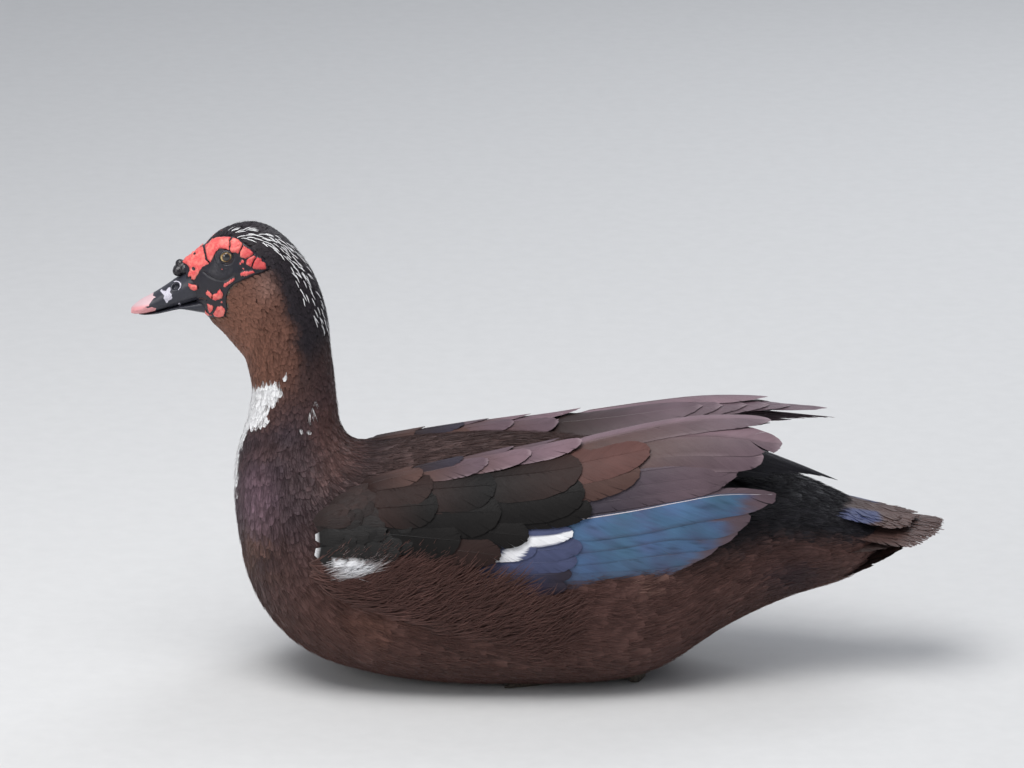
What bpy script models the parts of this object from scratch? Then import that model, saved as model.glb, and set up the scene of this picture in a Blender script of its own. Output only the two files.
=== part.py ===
# Muscovy duck lying on the ground, life size, as a still museum model.
# Metres, +Z up. The bird faces -X and its left side faces -Y, and the floor is Z = 0.
# Body, neck and head are one run of oval sections, parted into nodes by thin plane cuts.

import math

import bmesh
import bpy
import numpy as np
from mathutils import Matrix, Vector

BIRD_LENGTH = 0.650  # bill tip to tail tip, as it lies
MM = BIRD_LENGTH / 650  # the tables are in millimetres for a bird of this length
GAP = 0.0003  # left between nodes that touch
FLOOR = 0.0
SIDES = {"left": -1, "right": 1}

# Sections of the body from the bill's root to the tail: the point on the back (x, z),
# the point on the belly (x, z), half the width, how far the widest line sinks below the
# middle, as a share of half the depth, and the power of the lower half, below 1 where it
# is squarer than an ellipse. Millimetres.
BODY_SECTIONS = {
    "bill root": ((-279, 340), (-266, 296), 13.5, 0.00, 1.00),
    "forehead": ((-267, 350), (-260, 288), 20.0, -0.15, 1.00),
    "brow": ((-254, 362), (-252, 280), 24.5, -0.30, 0.90),
    "crown": ((-233, 369), (-242, 268), 27.0, -0.30, 0.85),
    "back of head": ((-213, 365), (-235, 259), 28.5, -0.20, 0.90),
    "nape top": ((-194, 348), (-232, 249), 28.5, -0.10, 1.00),
    "nape": ((-179, 325), (-230, 240), 28.0, 0.00, 1.00),
    "upper neck": ((-170, 296), (-229, 231), 27.5, 0.00, 1.00),
    "middle neck": ((-167, 268), (-231, 219), 27.5, 0.00, 1.00),
    "lower neck": ((-164, 241), (-234, 205), 29.0, 0.00, 1.00),
    "neck foot": ((-162, 219), (-239, 189), 33.0, 0.00, 1.00),
    "neck root": ((-160, 203), (-243, 171), 40.0, 0.00, 1.00),
    "shoulder": ((-154, 192), (-244, 148), 51.0, 0.00, 1.00),
    "upper breast": ((-146, 186), (-241, 116), 64.0, 0.05, 0.95),
    "breast": ((-133, 184), (-233, 78), 76.0, 0.08, 0.90),
    "keel front": ((-117, 186), (-216, 47), 86.0, 0.10, 0.85),
    "keel": ((-99, 189), (-187, 22), 93.0, 0.12, 0.75),
    "front belly": ((-75, 191), (-143, 8), 98.0, 0.15, 0.68),
    "belly": ((-31, 193), (-79, -1), 101.0, 0.15, 0.65),
    "middle": ((17, 192), (-7, -2), 101.0, 0.15, 0.65),
    "rear belly": ((65, 190), (57, 0), 97.0, 0.15, 0.65),
    "thigh": ((113, 185), (101, 10), 86.0, 0.12, 0.68),
    "vent": ((153, 177), (149, 40), 72.0, 0.08, 0.80),
    "rump": ((201, 161), (201, 63), 57.0, 0.00, 0.95),
    "tail root": ((240, 144), (248, 78), 45.0, 0.00, 1.00),
    "tail pad": ((262, 132), (267, 93), 34.0, 0.00, 1.00),
    "tail pad end": ((276, 124), (278, 103), 20.0, 0.00, 1.00),
}
SECTION = {name: number for number, name in enumerate(BODY_SECTIONS)}

# Nodes that are lengths of the body: first and last section, rings along and points round.
BODY_PIECES = {
    "head": (SECTION["bill root"], SECTION["nape top"] + 0.5, 11, 24, "feathers_dark"),
    "neck_upper": (SECTION["nape top"] + 0.5, SECTION["lower neck"], 7, 24, "feathers_brown"),
    "neck_lower": (SECTION["lower neck"], SECTION["shoulder"], 6, 24, "feathers_brown"),
    "torso": (SECTION["shoulder"], SECTION["thigh"], 15, 24, "feathers_brown"),
    "rump": (SECTION["thigh"], SECTION["tail root"], 6, 24, "feathers_brown"),
    "tail": (SECTION["tail root"], SECTION["tail pad end"], 3, 14, "feathers_flight"),
}

# Sections of the upper bill, from its root to its tip: top (x, z), bottom (x, z), half width.
UPPER_BILL_SECTIONS = (
    ((-277.5, 334.0), (-269.6, 307.0), 13.5),
    ((-284.0, 328.0), (-279.0, 304.0), 12.4),
    ((-294.0, 320.5), (-291.0, 300.5), 11.6),
    ((-305.0, 313.0), (-303.0, 297.2), 12.2),
    ((-315.0, 307.0), (-314.0, 295.2), 12.2),
    ((-321.5, 302.5), (-321.0, 294.4), 9.6),
    ((-325.0, 299.0), (-325.0, 294.6), 5.0),
)
LOWER_BILL_SECTIONS = (
    ((-269.4, 306.2), (-266.2, 295.0), 12.3),
    ((-279.0, 303.3), (-277.0, 295.2), 10.6),
    ((-291.0, 299.8), (-290.0, 295.0), 9.8),
    ((-303.0, 296.5), (-303.0, 293.0), 10.2),
    ((-313.0, 294.5), (-313.0, 291.8), 8.8),
    ((-318.5, 293.7), (-318.5, 292.0), 4.5),
)
KNOB = {"centre": (-283.5, 0, 331.0), "radii": (9.5, 7.8, 7.6)}
NOSTRIL = {"centre": (-288.5, 9.0, 320.0), "radii": (3.0, 3.4, 1.9), "pitch": 24}

EYE = {"centre": (-247.7, 17.6, 347.5), "radius": 7.6}
EYELID = {"radius": 6.3, "thickness": 1.1, "depth": 5.2}

# Bare skin of the face: each lump's place (x, z) and its two radii along the face.
# The smooth black skin lies before and below the eye, and the red caruncles bound it.
SMOOTH_SKIN = (
    ((-256.0, 330.0), (15, 12)),
    ((-268.0, 322.0), (9, 13)),
    ((-243.0, 338.0), (15, 13)),
    ((-262.0, 306.0), (8, 8)),
)
CARUNCLES = (
    ((-277.5, 338.5), 5.0),
    ((-270.0, 339.5), 5.6),
    ((-262.5, 345.5), 6.0),
    ((-255.0, 351.5), 6.0),
    ((-246.5, 354.5), 6.2),
    ((-238.0, 352.0), 6.0),
    ((-231.0, 346.5), 5.6),
    ((-224.0, 340.0), 5.4),
    ((-217.5, 334.0), 4.4),
    ((-226.5, 332.0), 4.8),
    ((-236.0, 327.0), 4.4),
    ((-243.5, 320.0), 4.6),
    ((-251.5, 310.5), 5.0),
    ((-260.0, 307.5), 5.2),
    ((-274.0, 315.0), 4.6),
    ((-262.0, 298.5), 4.4),
    ((-254.5, 299.0), 4.6),
)
CARUNCLE_HEIGHT = 2.4
SKIN_HEIGHT = 1.3

# The folded wing is a curved sheet: at each x, a quarter of an ellipse from its top
# edge (half width y, z) to its bottom edge. Millimetres.
WING_SECTIONS = (
    (-186, (84, 146), (90, 118)),
    (-168, (70, 160), (97, 106)),
    (-140, (60, 170), (102, 98)),
    (-100, (52, 178), (106, 93)),
    (-47, (46, 186), (108, 92)),
    (17, (38, 195), (107, 93)),
    (60, (32, 203), (101, 98)),
    (95, (28, 209), (94, 106)),
    (129, (27, 213), (86, 118)),
    (169, (28, 213), (74, 142)),
    (200, (30, 210), (62, 166)),
    (236, (34, 206), (48, 184)),
)
WING_STATIONS = np.arange(-240, 301, 60)  # x of the lines that every feather bends on
WING_CORE = {
    "front_rows": (-186, -181, -168, -152), "rear": 58, "round": 40, "blunt": 0.2,
    "front_v": 0.6, "axis": 100, "shrink": 0.6,
}
WING_CORE_LIFT = ((-186, -5.0), (-90, -5.0), (-30, -7.4), (60, -7.4))

# Rows of feathers on a wing. Each value runs from the row's first feather, nearest the
# back, to its last: roots and tips are (x, v) on the sheet, widths are half widths, and
# lifts are heights over the sheet at the root, where the feather leaves the core and at
# its tip. Each feather lies over the next one of its row. Millimetres.
# A shape is a feather's width by share of its way, as a share of its row's width.
FLIGHT_SHAPE = ((0, 0.2), (0.2, 0.38), (0.45, 0.95), (0.9, 0.88), (1, 0.2))
COVERT_SHAPE = ((0, 0.25), (0.2, 0.42), (0.5, 0.95), (0.82, 0.9), (1, 0.35))
WING_ROWS = {
    "primaries": {
        "count": 4, "shape": FLIGHT_SHAPE, "root": ((14, 0.34), (22, 0.60)),
        "tip": ((160, 0.12), (237, 0.42)), "width": (9, 7),
        "root_lift": (-11, -11), "start_lift": (-8.6, -10.2), "end_lift": (-4.5, -8.5),
    },
    "secondaries": {
        "count": 6, "shape": FLIGHT_SHAPE, "root": ((-10, 0.52), (-46, 0.78)),
        "tip": ((188, 0.88), (168, 0.96), (110, 0.985), (48, 0.99)), "width": (13, 12),
        "root_lift": (-10.5, -9.0), "start_lift": (-1.9, -6.2), "end_lift": (-1.9, -6.2),
    },
    "tertials": {
        "count": 4, "shape": FLIGHT_SHAPE, "root": ((10, 0.10), (-14, 0.44)),
        "tip": ((184, 0.04), (189, 0.34), (187, 0.52), (166, 0.70)), "width": (18, 15),
        "root_lift": (-9.5, -9.5), "start_lift": (1.6, -1.0), "end_lift": (1.6, -1.0),
    },
    "greater_coverts": {
        "count": 6, "shape": COVERT_SHAPE, "root": ((-52, 0.50), (-96, 0.82)),
        "tip": ((34, 0.56), (46, 0.80), (4, 0.985)), "width": (14, 12),
        "root_lift": (-8.5, -7.0), "start_lift": (-1.6, -5.2), "end_lift": (0.4, -4.2),
    },
    "median_coverts": {
        "count": 5, "shape": COVERT_SHAPE, "root": ((-104, 0.36), (-138, 0.80)),
        "tip": ((-30, 0.40), (-64, 0.96)), "width": (16, 15),
        "root_lift": (-8.0, -7.0), "start_lift": (-1.8, -4.4), "end_lift": (2.0, -1.2),
    },
    "lesser_coverts": {
        "count": 4, "shape": COVERT_SHAPE, "root": ((-150, 0.34), (-168, 0.76)),
        "tip": ((-88, 0.34), (-112, 0.92)), "width": (18, 15),
        "root_lift": (-8.0, -7.0), "start_lift": (-2.4, -4.2), "end_lift": (1.8, -0.6),
    },
    "scapulars": {
        "count": 4, "shape": COVERT_SHAPE, "root": ((-30, 0.17), (-118, 0.27)),
        "tip": ((52, 0.11), (-30, 0.21)), "width": (18, 15),
        "root_lift": (-8.5, -7.5), "start_lift": (-1.0, -1.0), "end_lift": (3.0, 3.0),
    },
}
VANE_POINTS_ACROSS = 3
VANE_FREE = 0.2  # share of its way at which a vane has left what it grows from
VANE_END = 0.9  # share of its way at which a vane's end starts to narrow
VANE_THICKNESS = {0: 1.0, 0.4: 0.55, 1: 0.5}

# How far each wing's primaries hang from the sheet at their tips: inwards and down.
DROOP = {"start": 110, "end": 238, "power": 1.5, "left": (14, 37), "right": (2, 2)}

# The tail's fan is a shallow arch at a height over the floor, and its feathers run from
# the tail's flesh, the middle one longest. The coverts' roots and tips are (x, z).
TAIL_ARCH = {"height": 124.0, "x": 300, "slope": -0.07, "curve": 0.0022}
TAIL_FEATHERS = {
    "pairs": 5, "root_x": 246, "tip_x": 325, "shorter": 26, "root_apart": 4.5, "tip_apart": 8.0,
    "width": 7.4, "step": 0.85,
}
TAIL_COVERTS = {
    "upper": {
        "count": 4, "root": (236, 142), "tip": (288, 128.5), "spread": (14, 26), "width": 10,
        "shorter": 12,
    },
    "upper_rear": {
        "count": 3, "root": (252, 129), "tip": (300, 126.5), "spread": (10, 20), "width": 8,
        "shorter": 8,
    },
    "under": {
        "count": 4, "root": (248, 90), "tip": (296, 109), "spread": (12, 22), "width": 9,
        "shorter": 10,
    },
}
TAIL_COVERT_FALL = 0.8  # how much lower each covert lies than the next one towards the middle

LEG = {
    "knee": (52, 42, 36),
    "hock": (77, 45, 9.4),
    "ankle": (32, 41, 7),
    "radii": {"knee": 11.0, "hock": 9.4, "shank": 7.4, "ankle": 5.5},
}
TOES = {"length": (56, 66, 58), "turn": (-19, 0, 19), "radius": 3.2, "claw": 7}
WEB_HEIGHT = 2.0

COLOURS = {
    "feathers_brown": ((0.105, 0.052, 0.036), 0.65),
    "feathers_dark": ((0.040, 0.028, 0.028), 0.50),
    "feathers_flight": ((0.115, 0.070, 0.062), 0.50),
    "bill": ((0.030, 0.030, 0.034), 0.35),
    "bare_skin": ((0.62, 0.075, 0.055), 0.50),
    "knob_skin": ((0.025, 0.022, 0.026), 0.40),
    "eye": ((0.50, 0.32, 0.09), 0.08),
    "leg_skin": ((0.075, 0.065, 0.055), 0.60),
}


def clear_scene():
    for obj in list(bpy.data.objects):
        bpy.data.objects.remove(obj)


def material(name):
    made = bpy.data.materials.get(name)
    if made is None:
        colour, roughness = COLOURS[name]
        made = bpy.data.materials.new(name)
        made.use_nodes = True
        shader = made.node_tree.nodes["Principled BSDF"]
        shader.inputs["Base Color"].default_value = (*colour, 1)
        shader.inputs["Roughness"].default_value = roughness
        shader.inputs["Metallic"].default_value = 0
        made.diffuse_color = (*colour, 1)
    return made


def smooth(knots, values, at):
    """Cubic curve through the values at the knots, sloped by each knot's neighbours."""
    knots = np.asarray(knots, float)
    values = np.asarray(values, float)
    at = np.asarray(at, float)
    slopes = np.gradient(values, knots, axis=0)
    i = np.clip(np.searchsorted(knots, at) - 1, 0, len(knots) - 2)
    width = knots[i + 1] - knots[i]
    t = (at - knots[i]) / width
    if values.ndim > 1:
        t, width = t[..., None], width[..., None]
    start, end = values[i], values[i + 1]
    rise, fall = slopes[i] * width, slopes[i + 1] * width
    return (
        start * (2 * t**3 - 3 * t**2 + 1)
        + rise * (t**3 - 2 * t**2 + t)
        + end * (3 * t**2 - 2 * t**3)
        + fall * (t**3 - t**2)
    )


def body_point(s, turn, lift=0.0):
    """Points of the body: s counts sections, turn runs from the back (0) by the left side."""
    s, turn, lift = np.broadcast_arrays(
        np.asarray(s, float), np.asarray(turn, float), np.asarray(lift, float)
    )
    rows = np.array([[*back, *belly, *shape] for back, belly, *shape in BODY_SECTIONS.values()])
    value = smooth(np.arange(len(rows)), rows, s)
    back, belly = value[..., 0:2] * MM, value[..., 2:4] * MM
    half_width, sink, power = value[..., 4] * MM, value[..., 5], value[..., 6]
    middle = (back + belly) / 2
    upward = back - belly
    half_depth = np.linalg.norm(upward, axis=-1) / 2
    upward = upward / (2 * half_depth[..., None])
    rise = np.cos(turn)
    rise = np.where(rise < 0, -np.abs(rise) ** power, rise)
    height = (half_depth + lift) * rise - sink * half_depth * np.sin(turn) ** 2
    x = middle[..., 0] + upward[..., 0] * height
    z = middle[..., 1] + upward[..., 1] * height
    y = -(half_width + lift) * np.sin(turn)
    return np.stack([x, y, np.maximum(z, FLOOR - np.maximum(lift, 0))], -1)


def wing_point(x, v, lift, side):
    """Points of a wing's sheet: v runs from its top edge (0) to its bottom edge (1)."""
    x, v, lift = np.broadcast_arrays(
        np.asarray(x, float), np.asarray(v, float), np.asarray(lift, float)
    )
    rows = np.array([[*top, *bottom] for _, top, bottom in WING_SECTIONS], float)
    value = smooth([row[0] for row in WING_SECTIONS], rows, x / MM) * MM
    angle = v * math.pi / 2
    wide = value[..., 2] - value[..., 0]
    deep = value[..., 1] - value[..., 3]
    y = value[..., 0] + wide * np.sin(angle)
    z = value[..., 3] + deep * np.cos(angle)
    out_y, out_z = deep * np.sin(angle), wide * np.cos(angle)
    size = np.hypot(out_y, out_z)
    y = y + lift * out_y / size
    z = z + lift * out_z / size
    return np.stack([x, side * y, z], -1)


def mesh_object(name, points, faces, colour):
    mesh = bpy.data.meshes.new(name)
    mesh.from_pydata([tuple(p) for p in np.asarray(points, float)], [], faces)
    mesh.materials.append(material(colour))
    made = bpy.data.objects.new(name, mesh)
    bpy.context.scene.collection.objects.link(made)
    face_outwards(mesh)
    return made


def face_outwards(mesh):
    work = bmesh.new()
    work.from_mesh(mesh)
    bmesh.ops.recalc_face_normals(work, faces=work.faces)
    work.to_mesh(mesh)
    work.free()


def lofted(name, rings, colour):
    """Closed mesh through rings of points, split alike in every use, with flat ends."""
    count, around = rings.shape[:2]
    faces = []
    for r in range(count - 1):
        for i in range(around):
            here, beside = r * around + i, r * around + (i + 1) % around
            faces.append((here, beside, beside + around))
            faces.append((here, beside + around, here + around))
    faces.append(tuple(range(around)))
    faces.append(tuple((count - 1) * around + i for i in range(around)))
    return mesh_object(name, rings.reshape(-1, 3), faces, colour)


def shelled(name, outer, inner, colour):
    """Closed mesh between two grids of points, its two faces split alike."""
    rows, cols = outer.shape[:2]
    count = rows * cols
    faces = []
    for r in range(rows - 1):
        for c in range(cols - 1):
            a, b = r * cols + c, r * cols + c + 1
            d, e = a + cols, b + cols
            for first, second, third in ((a, b, e), (a, e, d)):
                faces.append((first, second, third))
                faces.append((first + count, third + count, second + count))
    rim = list(range(cols))
    rim += [r * cols + cols - 1 for r in range(1, rows)]
    rim += [(rows - 1) * cols + c for c in range(cols - 2, -1, -1)]
    rim += [r * cols for r in range(rows - 2, 0, -1)]
    for first, second in zip(rim, rim[1:] + rim[:1]):
        faces.append((second, first, first + count, second + count))
    points = np.concatenate([outer.reshape(-1, 3), inner.reshape(-1, 3)])
    return mesh_object(name, points, faces, colour)


def wing_facet(x, v, lift, side):
    """A wing's sheet made straight between its stations, so that layers on it stay apart."""
    x, v, lift = np.broadcast_arrays(
        np.asarray(x, float), np.asarray(v, float), np.asarray(lift, float)
    )
    stations = WING_STATIONS * MM
    i = np.clip(np.searchsorted(stations, x) - 1, 0, len(stations) - 2)
    share = ((x - stations[i]) / (stations[i + 1] - stations[i]))[..., None]
    before = wing_point(stations[i], v, lift, side)
    after = wing_point(stations[i + 1], v, lift, side)
    return before * (1 - share) + after * share


def knots_along(start, end):
    """Shares of a vane's way at which it has a row of points, with one at each station."""
    shares = [0.0, VANE_FREE, VANE_END, 1.0]
    for station in WING_STATIONS:
        share = (station * MM - start) / (end - start)
        if all(abs(share - other) > 0.05 for other in shares) and 0 < share < 1:
            shares.append(share)
    return np.array(sorted(shares))


def sideways(sheet, path):
    """At each (p, q) of a path on a sheet, the step in (p, q) that goes 1 m to its right."""
    ahead = np.gradient(path, axis=0)
    step = 0.002
    p, q = path[:, 0], path[:, 1]
    along_p = (sheet(p + step, q, 0) - sheet(p - step, q, 0)) / (2 * step)
    along_q = (sheet(p, q + step, 0) - sheet(p, q - step, 0)) / (2 * step)
    pp = (along_p * along_p).sum(1)
    pq = (along_p * along_q).sum(1)
    qq = (along_q * along_q).sum(1)
    turned = np.stack([-(pq * ahead[:, 0] + qq * ahead[:, 1]), pp * ahead[:, 0] + pq * ahead[:, 1]], 1)
    reach = along_p * turned[:, :1] + along_q * turned[:, 1:]
    return turned / np.linalg.norm(reach, axis=1)[:, None]


def vane(sheet, root, tip, width, lifts, shape):
    """A feather as a thin closed slab that follows a sheet from its root to its tip.

    Its width follows the shape's shares, and its lift runs from lifts[0] at the root to
    lifts[1] where it leaves what it grows from and to lifts[2] at its tip.
    """
    share = knots_along(root[0], tip[0])
    half = width * MM * np.interp(share, *zip(*shape))
    path = np.asarray(root) + (np.asarray(tip) - np.asarray(root)) * share[:, None]
    lift = np.interp(share, (0, VANE_FREE, 1), lifts) * MM
    thick = np.interp(share, *zip(*VANE_THICKNESS.items())) * MM
    spot = np.linspace(-1, 1, VANE_POINTS_ACROSS)
    aside = sideways(sheet, path)[:, None, :] * half[:, None, None] * spot[None, :, None]
    grid = path[:, None, :] + aside
    outer = sheet(grid[..., 0], grid[..., 1], lift[:, None])
    inner = sheet(grid[..., 0], grid[..., 1], (lift - thick)[:, None])
    return shelled("vane", outer, inner, "feathers_flight")


def along_row(values, share):
    """A row's value at a share of the way from its first feather to its last."""
    values = np.asarray(values, float)
    knots = np.linspace(0, 1, len(values))
    if values.ndim == 1:
        return float(np.interp(share, knots, values))
    return np.array([np.interp(share, knots, values[:, axis]) for axis in range(values.shape[1])])


def body_run(name, first, last, steps, around, colour, lift=0.0):
    """The body between two sections, each end half a gap short of its section."""
    s = np.linspace(first, last, steps + 1)
    turn = np.arange(around) * 2 * math.pi / around
    rings = body_point(s[:, None], turn[None, :], lift)
    for end, inward in ((0, 1), (-1, -1)):
        ring = rings[end]
        normal = np.cross(ring[around // 4] - ring[0], ring[around // 2] - ring[0])
        normal /= np.linalg.norm(normal)
        towards = rings[end + inward].mean(0) - ring.mean(0)
        normal *= np.sign(normal @ towards)
        rings[end] = ring + normal * (GAP / 2 - lift)
    return lofted(name, rings, colour)


def body_piece(name, lift=0.0):
    """One of the nodes that are a length of the body, grown by a lift where it is a cutter."""
    first, last, steps, around, colour = BODY_PIECES[name]
    return body_run(name, first, last, steps, around, colour, lift)


def oval_run(name, sections, around, colour, lift=0.0, flat_side=None):
    """A bill half: oval sections between top and bottom points, squarer towards the mouth."""
    rows = np.array([[*top, *bottom, width] for top, bottom, width in sections]) * MM
    turn = np.arange(around) * 2 * math.pi / around
    rings = []
    for row in rows:
        top, bottom, width = row[0:2], row[2:4], row[4] + lift
        middle, upward = (top + bottom) / 2, top - bottom
        half = np.linalg.norm(upward) / 2
        upward = upward / (2 * half)
        height = np.cos(turn)
        square = np.sign(height) * np.sqrt(np.abs(height))
        if flat_side == "below":
            height = np.where(height < 0, square, height)
        if flat_side == "above":
            height = np.where(height > 0, square, height)
        height = height * (half + lift)
        x = middle[0] + upward[0] * height
        z = middle[1] + upward[1] * height
        rings.append(np.stack([x, -width * np.sin(turn), z], -1))
    rings = np.array(rings)
    if lift:
        rings[0, :, 0] += lift
        rings[-1, :, 0] -= lift
    return lofted(name, rings, colour)


def ellipsoid(name, centre, radii, colour, turn=Matrix.Identity(3), around=10, rows=6):
    """Ellipsoid at a centre, turned by a rotation matrix. Metres."""
    work = bmesh.new()
    bmesh.ops.create_uvsphere(work, u_segments=around, v_segments=rows, radius=1)
    scale = Matrix.Diagonal(Vector(radii))
    for vertex in work.verts:
        vertex.co = turn @ (scale @ vertex.co) + Vector(centre)
    mesh = bpy.data.meshes.new(name)
    work.to_mesh(mesh)
    work.free()
    mesh.materials.append(material(colour))
    made = bpy.data.objects.new(name, mesh)
    bpy.context.scene.collection.objects.link(made)
    face_outwards(mesh)
    return made


def combine(base, others, operation, solver="EXACT"):
    """One Boolean of base with all the others, applied, and the others removed."""
    if not others:
        return base
    group = bpy.data.collections.new("operands")
    bpy.context.scene.collection.children.link(group)
    for other in others:
        for holder in list(other.users_collection):
            holder.objects.unlink(other)
        group.objects.link(other)
    step = base.modifiers.new("boolean", "BOOLEAN")
    step.operation = operation
    step.operand_type = "COLLECTION"
    step.collection = group
    step.solver = solver
    bpy.context.view_layer.update()
    graph = bpy.context.evaluated_depsgraph_get()
    result = bpy.data.meshes.new_from_object(base.evaluated_get(graph))
    base.modifiers.clear()
    base.data = result
    for other in others:
        bpy.data.objects.remove(other)
    bpy.data.collections.remove(group)
    keep_largest(base)
    return base


def keep_largest(obj):
    """Leaves only the closed surface with the largest box."""
    work = bmesh.new()
    work.from_mesh(obj.data)
    bmesh.ops.remove_doubles(work, verts=work.verts, dist=0.002 * MM)
    left, islands = set(work.verts), []
    while left:
        stack = [left.pop()]
        island = set(stack)
        while stack:
            for edge in stack.pop().link_edges:
                for vertex in edge.verts:
                    if vertex in left:
                        left.discard(vertex)
                        island.add(vertex)
                        stack.append(vertex)
        islands.append(island)

    def size(island):
        places = np.array([vertex.co for vertex in island])
        return float(np.linalg.norm(places.max(0) - places.min(0)))

    largest = max(islands, key=size)
    spare = [vertex for island in islands if island is not largest for vertex in island]
    bmesh.ops.delete(work, geom=spare, context="VERTS")
    work.to_mesh(obj.data)
    work.free()


def shade(obj, angle=40):
    obj.data.shade_smooth()
    obj.data.set_sharp_from_angle(angle=math.radians(angle))


def place(centre, side):
    """A named place in millimetres, on one side of the bird, in metres."""
    return (centre[0] * MM, side * centre[1] * MM, centre[2] * MM)


def eyeball(name, side, lift=0.0):
    radius = EYE["radius"] * MM + lift
    turn = Matrix.Rotation(math.radians(90), 3, "X")
    return ellipsoid(name, place(EYE["centre"], side), (radius,) * 3, "eye", turn, 14, 8)


def make_head():
    head = body_piece("head")
    sockets = [eyeball("socket", side, GAP) for side in SIDES.values()]
    combine(head, sockets, "DIFFERENCE")
    shade(head)


def make_neck():
    shade(body_piece("neck_upper"))
    shade(body_piece("neck_lower"))


def make_torso():
    torso = body_piece("torso")
    cutters = [leg_solid("cut", side, GAP) for side in SIDES.values()]
    cutters += [foot_solid("cut", side, GAP) for side in SIDES.values()]
    combine(torso, cutters, "DIFFERENCE")
    shade(torso)
    shade(body_piece("rump"))


def tail_sheet(x, y, lift):
    """The arch that the tail's feathers lie on: the middle is highest, and it falls backwards."""
    x, y, lift = np.broadcast_arrays(np.asarray(x, float), np.asarray(y, float), np.asarray(lift, float))
    z = TAIL_ARCH["height"] * MM + TAIL_ARCH["slope"] * (x - TAIL_ARCH["x"] * MM)
    z = z - TAIL_ARCH["curve"] / MM * y**2 + lift
    return np.stack([x, y, z], -1)


def tail_feathers():
    """The tail's fan: each feather lies under the next one towards the middle."""
    size = TAIL_FEATHERS
    vanes = []
    for number in range(-size["pairs"], size["pairs"] + 1):
        share = number / size["pairs"]
        root = (size["root_x"] * MM, size["root_apart"] * number * MM)
        tip = ((size["tip_x"] - size["shorter"] * share**2) * MM, size["tip_apart"] * number * MM)
        level = -size["step"] * abs(number)
        vanes.append(vane(tail_sheet, root, tip, size["width"], (level,) * 3, FLIGHT_SHAPE))
    return vanes


def tail_coverts(row):
    """A row of small feathers over or under the root of the fan."""
    vanes = []
    (root_x, root_z), (tip_x, tip_z) = row["root"], row["tip"]
    for number in range(row["count"]):
        share = 2 * number / (row["count"] - 1) - 1
        root = (root_x * MM, row["spread"][0] * share * MM)
        tip = ((tip_x - row["shorter"] * share**2) * MM, row["spread"][1] * share * MM)
        fall = TAIL_COVERT_FALL * abs(share) * (row["count"] // 2)
        low = root_z - fall - float(tail_sheet(*root, 0)[2]) / MM
        high = tip_z - fall - float(tail_sheet(*tip, 0)[2]) / MM
        lifts = (low, low + (high - low) * VANE_FREE, high)
        vanes.append(vane(tail_sheet, root, tip, row["width"], lifts, COVERT_SHAPE))
    return vanes


def make_tail():
    core = body_piece("tail")
    vanes = tail_feathers()
    for row in TAIL_COVERTS.values():
        vanes += tail_coverts(row)
    combine(core, vanes, "UNION")
    combine(core, [body_piece("rump", GAP)], "DIFFERENCE")
    shade(core)


def wing_core_span(x):
    """From top to bottom edge at each row: the front is round."""
    near = np.clip((x / MM - WING_CORE["front_rows"][0]) / WING_CORE["round"], 0, 1)
    reach = np.sqrt(1 - (1 - near) ** 2) * (1 - WING_CORE["blunt"]) + WING_CORE["blunt"]
    across = np.linspace(0, 1, 9)
    return WING_CORE["front_v"] + (across[None, :] - WING_CORE["front_v"]) * reach[:, None]


def wing_core_inside(outer):
    """The outer points drawn in towards the body's middle line."""
    axis = outer * [1, 0, 0] + np.array([0, 0, WING_CORE["axis"]]) * MM
    return axis + (outer - axis) * WING_CORE["shrink"]


def wing_core(name, side):
    """The wing's flesh and the down round it, from the bend to where the flights leave it."""
    front, rear = WING_CORE["front_rows"][-1], WING_CORE["rear"]
    middle = WING_STATIONS[(WING_STATIONS > front) & (WING_STATIONS < rear)]
    x = np.array([*WING_CORE["front_rows"], *middle, rear]) * MM
    v = wing_core_span(x)
    lift = np.interp(x / MM, *zip(*WING_CORE_LIFT)) * MM
    outer = wing_facet(x[:, None], v, lift[:, None], side)
    return shelled(name, outer, wing_core_inside(outer), "feathers_flight")


def wing_vanes(side):
    """All the feathers of one wing, row by row."""
    word = "left" if side < 0 else "right"
    inwards, down = DROOP[word]

    def sheet(x, v, lift):
        return wing_facet(x, v, lift, side)

    def drooping(x, v, lift):
        points = wing_facet(x, v, lift, side)
        way = (points[..., 0] / MM - DROOP["start"]) / (DROOP["end"] - DROOP["start"])
        fall = np.clip(way, 0, None) ** DROOP["power"]
        return points + np.stack([0 * fall, -side * inwards * fall, -down * fall], -1) * MM

    vanes = []
    for name, row in WING_ROWS.items():
        for number in range(row["count"]):
            share = number / (row["count"] - 1)
            root, tip = along_row(row["root"], share), along_row(row["tip"], share)
            lifts = [along_row(row[key], share) for key in ("root_lift", "start_lift", "end_lift")]
            width = along_row(row["width"], share)
            unit = np.array([MM, 1])
            on = drooping if name == "primaries" else sheet
            vanes.append(vane(on, root * unit, tip * unit, width, lifts, row["shape"]))
    return vanes


def make_wing(name, side):
    wing = wing_core(name, side)
    combine(wing, wing_vanes(side), "UNION")
    cut_by_body(wing)
    shade(wing)


def cut_by_body(obj):
    """Clears a node that lies on the body by the gap."""
    combine(obj, [body_piece(name, GAP) for name in ("neck_lower", "torso", "rump")], "DIFFERENCE")


def make_bill():
    upper = oval_run("bill_upper", UPPER_BILL_SECTIONS, 16, "bill", 0, "below")
    cutters = []
    for side in SIDES.values():
        turn = Matrix.Rotation(math.radians(NOSTRIL["pitch"]), 3, "Y")
        radii = [r * MM for r in NOSTRIL["radii"]]
        cutters.append(ellipsoid("cut", place(NOSTRIL["centre"], side), radii, "bill", turn))
    combine(upper, cutters, "DIFFERENCE")
    shade(upper)
    shade(oval_run("bill_lower", LOWER_BILL_SECTIONS, 16, "bill", 0, "above"))


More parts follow.
